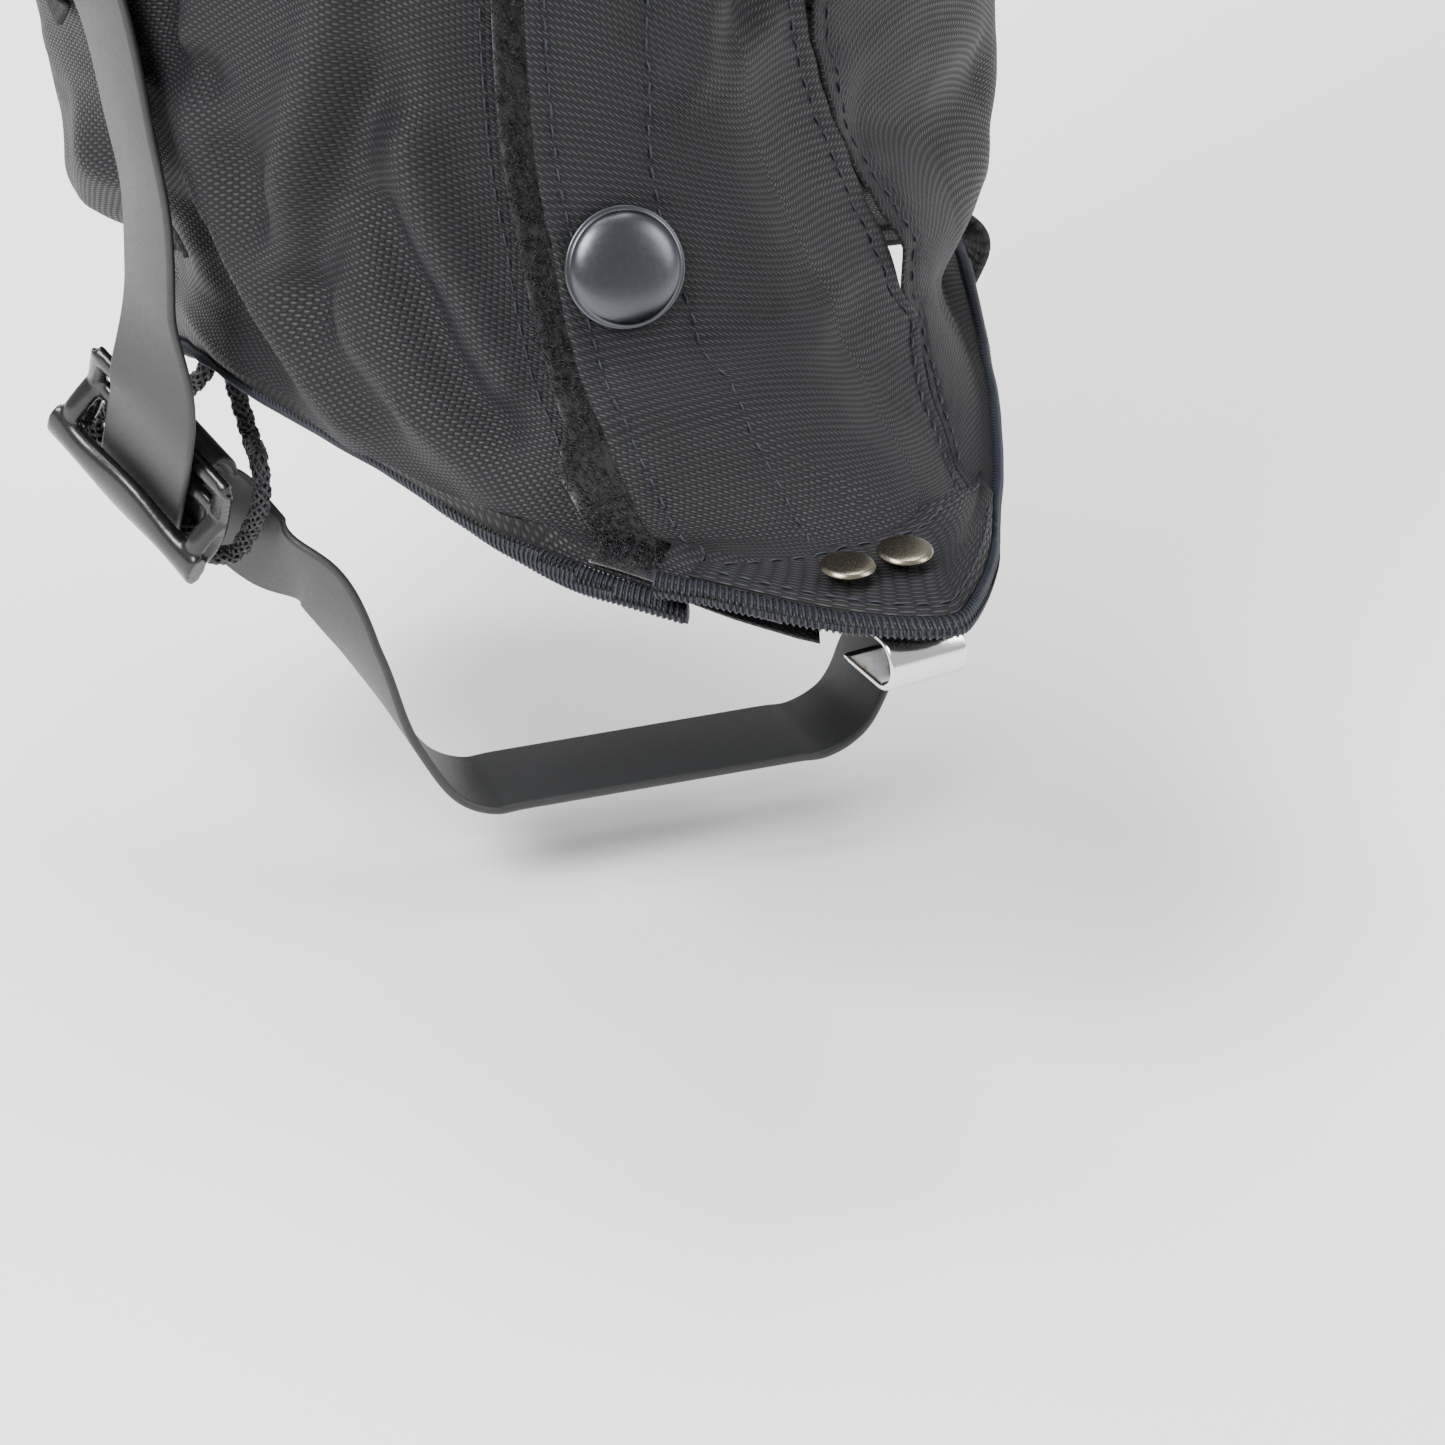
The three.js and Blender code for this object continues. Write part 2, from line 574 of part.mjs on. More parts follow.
const STRAP_STATIONS = [
  station(vector(55.4, 27, 54.5), vector(0, -0.98, 0.05)),
  station(vector(54.2, 25, 43), vector(0, -0.98, 0.15)),
  station(vector(50.6, 19, 31), vector(0, -0.95, 0.3)),
  station(vector(45, 10, 20), vector(0, -0.95, 0.25)),
  station(vector(38, 2.5, 9.5), TOE),
  station(vector(32.5, 0, 2.2), TOE),
  ...[27, 22, 0, -22, -27].map((x) => station(vector(x, 0, -STRAP_THICK / 2), TOE)),
  station(vector(-32.5, 0, 2.2), TOE),
  station(vector(-38.5, 0.5, 11.5), TOE),
  station(vector(-44, 3.5, 24), vector(0.2, -0.97, 0.05)),
  station(vector(-49, 8.5, 33.5), vector(0.4, -0.9, 0.1)),
  station(vector(-55, 14.5, 37.5), vector(0.55, -0.82, 0.18)),
  station(vector(-60, 19, 43.5), vector(0.6, -0.76, 0)),
  station(inSlider(1.5, 2, -7.2), BAR_DIR),
  station(inSlider(0.5, 8, -6.8), BAR_DIR),
  station(inSlider(0, 11.4, -4.6), BAR_DIR),
  station(inSlider(0, 8, -STACK), BAR_DIR),
  station(inSlider(0, 0, -STACK), BAR_DIR),
  station(inSlider(0, BIGHT_AT, -STACK), BAR_DIR),
  ...bightStations,
  station(inSlider(0, BIGHT_AT, STACK), BAR_DIR),
  station(inSlider(0, 8, STACK), BAR_DIR),
  station(inSlider(0, 22, STACK), BAR_DIR),
  station(vector(-73.4, 6.5, 86), vector(0.1, -0.99, 0)),
  station(vector(-73.8, 5, 101), vector(0.1, -0.99, 0.05)),
  station(vector(-75.4, 6, 113), vector(0.1, -0.95, 0.2)),
  station(lifted(-71, 4.4, TAIL_HEIGHT), vector(0.1, -0.85, 0.45)),
  station(lifted(KEEPER.u, KEEPER.v, TAIL_HEIGHT), TAIL_WIDE),
  station(lifted(-81, 5.02, TAIL_HEIGHT), TAIL_WIDE),
];
const STRAP_STEPS = 110;

// The medial tab is a strip of webbing sewn to the hem, with the strap's end riveted inside it.
const TAB_AT = 93; // u of the tab on the hem
const tabWide = sleeveFrame(TAB_AT, 0).around.negate();
const tabStations = [
  station(lifted(TAB_AT, 0.9, 4.2), tabWide),
  station(lifted(TAB_AT, 0, 4.0), tabWide),
  station(belowHem(TAB_AT, 5, 3.4), tabWide),
  station(vector(57.5, 27, 54), vector(0, -0.98, 0.05)),
  station(vector(56.8, 25.6, 45), vector(0, -0.98, 0.15)),
];
const tabRivet = { position: vector(55, 26.2, 50), direction: vector(1, 0, -0.06).normalize() };
const tabHoles = () => [hole(tabRivet, RIVET_HOLE)];

add("instep_strap",
  cut(ribbon(STRAP_STATIONS, STRAP_WIDTH, STRAP_THICK, STRAP_STEPS), tabHoles()), STRAP);
add("medial_tab", cut(ribbon(tabStations, STRAP_WIDTH, 1.3, 7), tabHoles()), WEBBING);
addTurned("tab_rivet_cap", [
  [0, -1.4], [1.2, -1.4], [1.2, 3.2], [RIVET_RADIUS - 0.3, 3.2], [RIVET_RADIUS, 3.6],
  [RIVET_RADIUS - 0.6, 4.1], [0, 4.4],
], RIVET_METAL, tabRivet);
addTurned("tab_rivet_burr", [
  [1.5, -2.2], [2.8, -2.2], [2.8, -1.3], [1.5, -1.3], [1.5, -2.2],
], RIVET_METAL, tabRivet);

// The keeper is a strip of webbing sewn down at both ends, with the tail of the strap under it.
function keeperStations() {
  const { around, up, out } = sleeveFrame(KEEPER.u, KEEPER.v);
  const across = TAIL_WIDE.clone().projectOnPlane(out).normalize();
  const base = sleevePoint(KEEPER.u, KEEPER.v);
  const wide = new THREE.Vector3().crossVectors(out, across);
  const outline = [[-17, 2.6], [-12, 2.6], [-9.6, 5.9], [0, 6.3], [9.6, 5.9], [12, 2.6], [17, 2.6]];
  return outline.map(([side, height]) => {
    const du = (side * across.dot(around)) / 1.35;
    const dv = (side * across.dot(up)) / 42;
    const foot = lifted(KEEPER.u + du, KEEPER.v + dv, height);
    const plain = base.clone().addScaledVector(across, side).addScaledVector(out, height);
    return station(height > 3 ? plain : foot, wide);
  });
}
add("strap_keeper", ribbon(keeperStations(), 14, 1.2, 24), WEBBING);

// ---------------------------------------------------------------- strap slider
const SLIDER_LENGTH = 32; // along its bars
const RAIL = 3.2; // thickness of an end rail, along the bars
const BAR_DEPTH = 4.2; // size of each bar along the strap
const sliderBasis = new THREE.Matrix4().makeBasis(BAR_DIR, PULL_DIR, OUT_DIR);
sliderBasis.setPosition(SLIDER_BAR);

function block(size, centre) {
  return new THREE.BoxGeometry(...size).translate(...centre);
}

function sliderBody() {
  const outerBar = block([SLIDER_LENGTH, BAR_DEPTH, 2.8], [0, 0, 4.9]);
  const middleBar = block([SLIDER_LENGTH, 3.6, 2.4], [0, 8, 0]);
  const innerBar = block([SLIDER_LENGTH, 3.6, 2.4], [0, 15.6, 0]);
  const railAt = (SLIDER_LENGTH - RAIL) / 2;
  const railShape = new THREE.Shape(profileOf([
    [-BAR_DEPTH / 2, 6.3], [-BAR_DEPTH / 2, 2], [0, -1.2], [17.4, -1.2], [17.4, 1.2],
    [BAR_DEPTH / 2 + 1.5, 6.0],
  ]));
  const rails = [-1, 1].map((side) => {
    const rail = new THREE.ExtrudeGeometry(railShape, { depth: RAIL, bevelEnabled: false });
    rail.rotateY(Math.PI / 2).rotateX(Math.PI / 2);
    return rail.translate(side * railAt - RAIL / 2, 0, 0);
  });
  return join(outerBar, middleBar, innerBar, ...rails);
}
add("strap_slider", sliderBody().applyMatrix4(sliderBasis), PLASTIC);

// ---------------------------------------------------------------- cord loop
// Both ends of the cord are sewn under a webbing tab inside the hem, and the loop holds the bight.
const CORD_FROM = -101; // u of the cord's two ends on the hem
const CORD_TO = -93;
const CORD_DEPTH = -3.4; // the cord's ends hang this far inside the sleeve

function belowHem(u, drop, height) {
  const { up, out } = sleeveFrame(u, 0);
  return sleevePoint(u, 0).addScaledVector(up, -drop).addScaledVector(out, height);
}

const tabMiddle = (CORD_FROM + CORD_TO) / 2;
const cordTabWide = sleeveFrame(tabMiddle, 0.5).around.negate();
const cordTab = [1.9, 1.3, 0.7].map((v) => station(lifted(tabMiddle, v, CORD_DEPTH), cordTabWide));
add("cord_tab", ribbon(cordTab, 15, 2.2, 4), WEBBING);

const CORD_ROUTE = [
  lifted(CORD_FROM, 0.2, CORD_DEPTH),
  belowHem(CORD_FROM, 3, CORD_DEPTH),
  belowHem(CORD_FROM, 6.5, -0.5),
  vector(-63, 41, 51.5),
  vector(-71, 39.5, 52.5),
  inSlider(-14, BIGHT_AT, 0),
  inSlider(-10, BIGHT_AT, 0),
  inSlider(0, BIGHT_AT, 0),
  inSlider(10, BIGHT_AT, 0),
  inSlider(13.6, BIGHT_AT, -0.3),
  inSlider(15.8, BIGHT_AT + 0.6, -2.7),
  inSlider(16, -1, -5),
  inSlider(15.5, 6, -7.2),
  vector(-57.3, 8.5, 55),
  vector(-55.8, 18, 54.6),
  belowHem(CORD_TO, 6.5, -2.4),
  belowHem(CORD_TO, 3, CORD_DEPTH),
  lifted(CORD_TO, 0.2, CORD_DEPTH),
];
add("hem_cord", cord(CORD_ROUTE, CORD_RADIUS, 44), CORD);

export default gaiter;
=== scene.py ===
"""Looks of the knee-high hiking gaiter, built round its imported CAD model.

Lengths inside the makers are millimetres, as in the CAD, and every mesh is scaled to metres when it
is made. u is the angle round the leg in degrees (0 at the toe, positive to the medial side) and v the
ring number of the sleeve, from 0 at the hem to 9 at the top edge.
"""

import math

import bpy
import numpy as np
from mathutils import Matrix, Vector, noise


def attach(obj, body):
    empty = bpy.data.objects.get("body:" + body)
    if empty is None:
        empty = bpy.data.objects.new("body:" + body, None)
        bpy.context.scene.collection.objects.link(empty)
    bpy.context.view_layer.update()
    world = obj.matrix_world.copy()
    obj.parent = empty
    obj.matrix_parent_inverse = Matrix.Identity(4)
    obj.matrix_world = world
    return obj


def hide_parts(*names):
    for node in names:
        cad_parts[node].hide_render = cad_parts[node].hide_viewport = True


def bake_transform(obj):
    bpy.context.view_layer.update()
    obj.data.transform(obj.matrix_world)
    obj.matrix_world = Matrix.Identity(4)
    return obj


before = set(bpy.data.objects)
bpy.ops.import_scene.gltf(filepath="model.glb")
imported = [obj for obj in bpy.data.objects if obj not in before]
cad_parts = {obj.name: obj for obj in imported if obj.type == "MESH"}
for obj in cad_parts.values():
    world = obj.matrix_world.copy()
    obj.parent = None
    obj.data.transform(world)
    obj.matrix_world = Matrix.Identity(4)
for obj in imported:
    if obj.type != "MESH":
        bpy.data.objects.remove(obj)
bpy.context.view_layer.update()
MM = 0.001
SLEEVE, FRONT, SLIDER = "sleeve", "front", "slider"

# ------------------------------------------------------------------ camera, stage and lights
VIEW_FROM = Vector((-0.302, -0.830, 0.469)).normalized()
VIEW_PLACE = Vector((-0.29565, -0.84783, 0.48202))
VIEW_LENS, SENSOR_WIDTH = 164.8, 36
FLOOR_Z = -0.017


def make_camera():
    camera = bpy.data.objects.new("camera", bpy.data.cameras.new("camera"))
    bpy.context.scene.collection.objects.link(camera)
    camera.data.lens = VIEW_LENS
    camera.data.sensor_width = SENSOR_WIDTH
    camera.data.clip_start, camera.data.clip_end = 0.01, 20
    camera.rotation_mode = "QUATERNION"
    camera.location = VIEW_PLACE
    camera.rotation_quaternion = (-VIEW_FROM).to_track_quat("-Z", "Y")
    bpy.context.scene.camera = camera


def area_light(name, place, target, size, watts, colour=(1, 1, 1)):
    light = bpy.data.lights.new(name, "AREA")
    light.shape = "RECTANGLE"
    light.size, light.size_y = size
    light.energy = watts
    light.color = colour
    lamp = bpy.data.objects.new(name, light)
    bpy.context.scene.collection.objects.link(lamp)
    lamp.location = place
    lamp.rotation_mode = "QUATERNION"
    lamp.rotation_quaternion = (Vector(target) - Vector(place)).to_track_quat("-Z", "Y")


def make_lights():
    middle = (0, -0.02, 0.1)
    area_light("key_softbox", (-0.95, -0.55, 1.25), middle, (0.7, 0.7), 44, (1, 0.99, 0.97))
    area_light("right_softbox", (1.15, -0.7, 0.75), middle, (0.5, 0.9), 13)
    area_light("top_softbox", (0.1, 0.35, 1.7), middle, (1.4, 1.0), 34)
    area_light("back_softbox", (-0.3, 1.4, 0.9), middle, (1.0, 0.8), 14)
    world = bpy.data.worlds.new("studio")
    world.use_nodes = True
    background = world.node_tree.nodes["Background"]
    background.inputs["Color"].default_value = (1, 1, 1, 1)
    background.inputs["Strength"].default_value = 0.72
    bpy.context.scene.world = world


# ------------------------------------------------------------------ shader helpers
def wire(tree, socket, value):
    if isinstance(value, bpy.types.NodeSocket):
        tree.links.new(value, socket)
    else:
        socket.default_value = value


def calc(tree, operation, *values):
    node = tree.nodes.new("ShaderNodeMath")
    node.operation = operation
    for socket, value in zip(node.inputs, values):
        wire(tree, socket, value)
    return node.outputs[0]


def blend_values(tree, share, low, high):
    """low where share is 0 and high where it is 1; numbers or colours."""
    node = tree.nodes.new("ShaderNodeMix")
    colours = isinstance(low, tuple) or isinstance(high, tuple)
    node.data_type = "RGBA" if colours else "FLOAT"
    first = 6 if colours else 2
    wire(tree, node.inputs[0], share)
    wire(tree, node.inputs[first], low)
    wire(tree, node.inputs[first + 1], high)
    return node.outputs[2] if colours else node.outputs[0]


def rgb(red, green, blue):
    return (red, green, blue, 1)


def noise_value(tree, scale, detail=3.0, space="Object"):
    where = tree.nodes.new("ShaderNodeTexCoord")
    node = tree.nodes.new("ShaderNodeTexNoise")
    node.inputs["Scale"].default_value = scale
    node.inputs["Detail"].default_value = detail
    tree.links.new(where.outputs[space], node.inputs["Vector"])
    return node.outputs["Fac"]


def new_material(name, roughness=0.5, metallic=0.0, **fixed):
    material = bpy.data.materials.new(name)
    material.use_nodes = True
    shader = material.node_tree.nodes["Principled BSDF"]
    shader.inputs["Roughness"].default_value = roughness
    shader.inputs["Metallic"].default_value = metallic
    for key, value in fixed.items():
        shader.inputs[key.replace("_", " ")].default_value = value
    return material, material.node_tree, shader


def bump(tree, shader, height, distance, strength=1.0):
    node = tree.nodes.new("ShaderNodeBump")
    node.inputs["Distance"].default_value = distance
    node.inputs["Strength"].default_value = strength
    wire(tree, node.inputs["Height"], height)
    tree.links.new(node.outputs["Normal"], shader.inputs["Normal"])


def weave_pattern(tree, across, along, wander=0.12):
    """A plain weave over the UV map, which is in millimetres: its height and its weft share."""
    where = tree.nodes.new("ShaderNodeUVMap")
    where.uv_map = "weave"
    split = tree.nodes.new("ShaderNodeSeparateXYZ")
    tree.links.new(where.outputs[0], split.inputs[0])
    drift = calc(tree, "MULTIPLY", noise_value(tree, 260, 2), wander)
    x = calc(tree, "DIVIDE", calc(tree, "ADD", split.outputs[0], drift), across)
    y = calc(tree, "DIVIDE", calc(tree, "ADD", split.outputs[1], drift), along)
    cells = calc(tree, "ADD", calc(tree, "FLOOR", x), calc(tree, "FLOOR", y))
    parity = calc(tree, "FLOORED_MODULO", cells, 2.0)
    dx = calc(tree, "SUBTRACT", calc(tree, "FRACT", x), 0.5)
    dy = calc(tree, "SUBTRACT", calc(tree, "FRACT", y), 0.5)

    def arch(offset, depth):
        square = calc(tree, "MULTIPLY", offset, offset)
        return calc(tree, "SUBTRACT", 1.0, calc(tree, "MULTIPLY", square, depth))

    weft = calc(tree, "MULTIPLY", arch(dy, 3.6), arch(dx, 1.7))
    warp = calc(tree, "MULTIPLY", arch(dx, 3.6), arch(dy, 2.2))
    weft_share = calc(tree, "SUBTRACT", 1.0, parity)
    height = blend_values(tree, parity, weft, calc(tree, "MULTIPLY", warp, 0.72))
    return height, weft_share


def nylon_material(name, dark=0.0026, light=0.032, pitch=(0.8, 0.53)):
    """Coarse pack cloth: plain weave whose weft float tops get a lighter base colour, a painted highlight,
    and lower roughness.
    """
    material, tree, shader = new_material(name, Specular_IOR_Level=0.3)
    height, weft = weave_pattern(tree, *pitch)
    peak = calc(tree, "POWER", calc(tree, "MAXIMUM", height, 0.0), 2.2)
    # Painted highlight: the weft float tops are lightened in the base colour to stand in for the lamps'
    # glints on the threads, and the same mask lowers the roughness there.
    painted_highlight = calc(tree, "MULTIPLY", peak, calc(tree, "MULTIPLY_ADD", weft, 0.75, 0.25))
    wear = calc(tree, "MULTIPLY_ADD", noise_value(tree, 38, 4), 0.5, 0.72)
    shade = blend_values(tree, painted_highlight, rgb(dark, dark, dark * 1.3), rgb(light, light * 1.02, light * 1.22))
    tint = tree.nodes.new("ShaderNodeHueSaturation")
    wire(tree, tint.inputs["Color"], shade)
    wire(tree, tint.inputs["Value"], wear)
    tree.links.new(tint.outputs[0], shader.inputs["Base Color"])
    wire(tree, shader.inputs["Roughness"], blend_values(tree, painted_highlight, 0.7, 0.4))
    bump(tree, shader, height, 0.00022, 0.85)
    return material


def webbing_material(name, dark, light, pitch):
    material, tree, shader = new_material(name, roughness=0.75, Specular_IOR_Level=0.3)
    height, _ = weave_pattern(tree, *pitch)
    peak = calc(tree, "MAXIMUM", height, 0.0)
    shade = blend_values(tree, peak, rgb(dark, dark, dark * 1.15), rgb(light, light, light * 1.1))
    tree.links.new(shade, shader.inputs["Base Color"])
    bump(tree, shader, height, 0.0003)
    return material


def grained_material(name, low, high, scale, roughness, depth, metallic=0.0, **fixed):
    """One colour that wanders between low and high, with a fine grain."""
    material, tree, shader = new_material(name, roughness, metallic, **fixed)
    patch = noise_value(tree, scale, 4)
    grain = noise_value(tree, scale * 22, 3)
    tree.links.new(blend_values(tree, patch, rgb(*low), rgb(*high)), shader.inputs["Base Color"])
    spread = calc(tree, "MULTIPLY_ADD", grain, 0.16, roughness - 0.08)
    wire(tree, shader.inputs["Roughness"], spread)
    bump(tree, shader, grain, depth, 0.6)
    return material


METAL = {"metallic": 1.0}
# Material name, darkest and lightest colour, scale, roughness, grain depth in metres, other values.
GRAINED = {
    "pile": ("pile", (0.003, 0.003, 0.004), (0.009, 0.009, 0.012), 90, 0.9, 0.0003, {"Sheen_Weight": 0.5}),
    "fibre": ("pile_fibre", (0.004, 0.004, 0.005), (0.02, 0.021, 0.026), 400, 0.42, 0.00001, {}),
    "thread": ("stitch_thread", (0.004, 0.005, 0.009), (0.012, 0.016, 0.03), 300, 0.6, 0.00004, {}),
    "cord": ("braided_cord", (0.006, 0.006, 0.008), (0.03, 0.031, 0.037), 600, 0.5, 0.00003, {}),
    "strap": ("matte_strap", (0.014, 0.0145, 0.0155), (0.021, 0.022, 0.0235), 60, 0.5, 0.00004, {}),
    "plastic": ("glossy_plastic", (0.006, 0.006, 0.007), (0.010, 0.010, 0.011), 50, 0.27, 0.00003, {}),
    "snap_metal": ("gunmetal", (0.06, 0.063, 0.072), (0.09, 0.094, 0.105), 70, 0.33, 0.00001, METAL),
    "rivet_metal": ("antique_brass", (0.17, 0.148, 0.115), (0.27, 0.24, 0.19), 160, 0.27, 0.00002, METAL),
    "nickel": ("bright_nickel", (0.62, 0.62, 0.63), (0.74, 0.74, 0.74), 60, 0.16, 0.00001, METAL),
    "floor": ("pale_floor", (0.9, 0.9, 0.9), (0.93, 0.93, 0.93), 3, 0.6, 0.00002, {}),
}


def make_materials():
    made = {
        "nylon": nylon_material("nylon_cloth"),
        "elastic": webbing_material("elastic", 0.006, 0.02, (1.1, 0.7)),
        "webbing": webbing_material("webbing", 0.005, 0.026, (1.6, 0.9)),
    }
    for key, (*values, fixed) in GRAINED.items():
        made[key] = grained_material(*values, **fixed)
    return made


# ------------------------------------------------------------------ the sleeve, as in the CAD
TOP = 9
FABRIC = 1.2
FLAP_LIFT, FLAP_FLAT, FLAP_FADE = 5.0, 16, 14
SIDE_SEAM, CALF_SEAM, SEAM_GAP = 75, 235, 0.35
# centreY, frontY, rearY, left, right, frontZ, sideZ, rearZ, skew, leftPower, rightPower
RINGS = np.array([
    [25, -107.5, 97, 61.5, 57, 68, 68.5, 36, 6.5, 1.6, 1.15],
    [28, -83, 98, 64, 52, 70.5, 73.5, 46, 8.5, 1.94, 1.3],
    [30, -60, 98, 64, 56.5, 87.5, 79, 58, -13.5, 1.9, 1.73],
    [33, -48, 98, 69, 63.5, 110, 89, 76, -22, 1.85, 1.81],
    [36, -41, 108, 76, 65, 138, 108, 100, -24, 1.9, 1.85],
    [39, -36, 113, 79, 69, 175, 150, 145, -22, 1.95, 1.9],
    [40, -33, 115, 74, 70, 230, 215, 213, -16, 2, 2],
    [41, -36, 121, 73, 71, 300, 290, 290, -10, 2, 2],
    [41, -38, 121, 73, 72, 360, 355, 355, -5, 2, 2],
    [40, -35, 114, 70, 69, 413, 413, 413, 0, 2, 2],
])
FLAP_EDGE = [(0, -16), (1, -16.5), (1.3, -14.8), (1.9, -9.4), (2.4, -7.4), (3, -6), (9, -6)]
FRONT_SEAM = [(0, 8.5), (1, 9.5), (1.3, 17), (1.8, 29), (2.3, 32), (2.9, 29.5), (3.8, 26), (9, 24)]
UNDERLAP = [(0, 9), (0.6, 9), (1.6, 17), (9, 19)]


def along(pairs, x):
    places, values = zip(*pairs)
    return np.interp(x, places, values)


def smooth(x, low, high):
    t = np.clip((x - low) / (high - low), 0, 1)
    return t * t * (3 - 2 * t)


def ring_at(v):
    padded = np.vstack([2 * RINGS[0] - RINGS[1], RINGS, 2 * RINGS[-1] - RINGS[-2]])
    i = np.minimum(np.floor(v).astype(int), TOP - 1)
    t = (v - i)[:, None]
    a, b, c, d = (padded[i + k] for k in range(4))
    cubic = (3 * b - a - 3 * c + d) * t**3
    rows = 0.5 * (2 * b + (c - a) * t + (2 * a - 5 * b + 4 * c - d) * t**2 + cubic)
    return rows.T


def sleeve(u, v):
    u, v = np.broadcast_arrays(np.asarray(u, float), np.asarray(v, float))
    shape = u.shape
    u, v = np.radians(u.ravel()), np.clip(v.ravel(), 0, TOP)
    centre, front, rear, left, right, front_z, side_z, rear_z, skew, p_left, p_right = ring_at(v)
    sine, cosine = np.sin(u), np.cos(u)
    width = np.where(sine < 0, left, right)
    depth = np.where(cosine > 0, centre - front, rear - centre)
    power = np.where(cosine > 0, np.where(sine < 0, p_left, p_right), 2)
    terms = (np.abs(sine) / width + 1e-12) ** power + (np.abs(cosine) / depth + 1e-12) ** power
    reach = terms ** (-1 / power)
    tilt = (front_z - rear_z) / 2
    saddle = ((front_z + rear_z) / 2 - side_z) / 2
    x = reach * sine + skew * np.maximum(cosine, 0) ** 3
    y = centre - reach * cosine
    z = side_z + saddle + tilt * cosine + saddle * np.cos(2 * u)
    return np.stack([x, y, z], -1).reshape(shape + (3,))


def unit(rows):
    return rows / np.maximum(np.linalg.norm(rows, axis=-1, keepdims=True), 1e-9)


def distances(points):
    """How far along a line each of its points lies."""
    return np.concatenate([[0], np.cumsum(np.linalg.norm(np.diff(points, axis=0), axis=1))])


def sleeve_frame(u, v):
    """Directions round the leg, up the sleeve and outward."""
    u, v = np.asarray(u, float), np.asarray(v, float)
    around = unit(sleeve(u + 0.3, v) - sleeve(u - 0.3, v))
    up = unit(sleeve(u, np.minimum(v + 0.02, TOP)) - sleeve(u, np.maximum(v - 0.02, 0)))
    return around, up, unit(np.cross(around, up))


def lifted(u, v, height):
    out = sleeve_frame(u, v)[2]
    return sleeve(u, v) + out * np.asarray(height, float)[..., None]


def flap_edge(v):
    return along(FLAP_EDGE, v)


def front_seam(v):
    return along(FRONT_SEAM, v)


def lateral_edge(v):
    return flap_edge(v) + along(UNDERLAP, v)


def flap_lift(u, v):
    past = (u - flap_edge(v) - FLAP_FLAT) / FLAP_FADE
    return FLAP_LIFT * (1 - smooth(past, 0, 1))


# ------------------------------------------------------------------ folds in the cloth
# Each fold is a line of (u, v) places, a height in millimetres (below 0 is a valley) and a half width.
LATERAL_FOLDS = [
    ([(-28, 4.6), (-34, 4.0), (-41, 3.4), (-46, 2.9)], 3.4, 5.0),
    ([(-25, 3.9), (-31, 3.5), (-37, 3.0), (-42, 2.5)], -2.2, 4.5),
    ([(-21, 3.6), (-19, 3.1), (-17, 2.6), (-17, 2.2)], 2.8, 4.0),
    ([(-27, 3.2), (-23, 2.7), (-20.5, 2.2), (-20, 1.9)], -3.2, 4.2),
    ([(-58, 4.2), (-58, 3.5), (-54, 2.8), (-48, 2.1), (-43, 1.5)], 3.0, 6.0),
    ([(-50, 3.6), (-47, 3.0), (-42, 2.3), (-37, 1.7)], -2.0, 6.0),
    ([(-63, 4.4), (-60, 4.15), (-56, 4.1)], -3.5, 4.5),
    ([(-35, 2.6), (-30, 2.0), (-27, 1.3), (-28, 0.7)], 2.0, 6.5),
    ([(-66, 3.0), (-62, 2.2), (-58, 1.2)], -1.6, 6.0),
    ([(-70, 4.9), (-62, 5.3), (-50, 5.1), (-38, 4.9)], 3.6, 7.0),
    ([(-84, 3.6), (-95, 3.2), (-110, 3.3)], 3.4, 7.0),
    ([(-82, 2.6), (-94, 2.0), (-112, 2.2)], -2.4, 7.0),
    ([(-88, 5.4), (-100, 5.0), (-118, 5.2)], -2.8, 9.0),
    ([(-40, 6.0), (-60, 5.8), (-85, 6.3)], -2.6, 10.0),
    ([(-30, 6.9), (-55, 6.5), (-90, 7.1)], 3.0, 12.0),
    ([(-25, 7.9), (-60, 7.6), (-100, 7.8)], -2.0, 11.0),
]
FRONT_FOLDS = [
    ([(16, 4.6), (12, 4.1), (8, 3.7)], 1.8, 4.0),
    ([(18, 4.05), (22, 4.25), (26, 4.6)], -2.6, 5.0),
    ([(9, 3.8), (14, 3.75), (20, 3.9)], 1.5, 4.0),
    ([(-4, 2.35), (3, 2.25), (10, 2.3)], -1.2, 3.0),
    ([(-6, 2.05), (2, 1.95), (12, 2.05), (20, 2.3)], 1.2, 4.0),
    ([(-8, 1.55), (2, 1.5), (14, 1.6)], -0.8, 4.5),
    ([(12, 3.0), (20, 2.5), (26, 1.8), (27, 1.2)], 1.2, 6.0),
    ([(5, 5.3), (14, 5.0), (22, 5.2)], 2.0, 7.0),
    ([(2, 6.2), (12, 6.4), (21, 6.1)], -1.6, 8.0),
    ([(4, 7.4), (12, 7.2), (21, 7.5)], 1.4, 9.0),
]
MEDIAL_FOLDS = [
    ([(30, 4.2), (42, 4.5), (60, 4.3)], 3.0, 7.0),
    ([(34, 3.3), (45, 3.1), (60, 3.3)], -3.2, 6.0),
    ([(34, 2.5), (44, 2.1), (60, 2.4)], 2.4, 7.0),
    ([(40, 1.6), (50, 1.3), (66, 1.6)], -1.8, 6.0),
    ([(28, 5.6), (45, 5.3), (68, 5.7)], -2.4, 9.0),
    ([(27, 6.8), (50, 6.5), (70, 6.9)], 2.4, 11.0),
]
CALF_FOLDS = [
    ([(85, 2.8), (110, 2.4), (140, 2.9)], 3.0, 7.0),
    ([(150, 2.3), (180, 2.7), (215, 2.3)], 3.0, 8.0),
    ([(95, 4.0), (130, 3.6), (165, 4.1)], -2.6, 8.0),
    ([(160, 3.7), (195, 4.1), (228, 3.8)], -2.8, 8.0),
    ([(90, 5.2), (130, 4.9), (185, 5.3)], 3.4, 11.0),
    ([(140, 6.2), (180, 5.9), (226, 6.3)], -3.0, 12.0),
    ([(95, 7.2), (140, 6.9), (200, 7.3)], 2.6, 13.0),
]
PUCKERS = 5.5  # spacing of the small puckers along a row of stitches, in millimetres


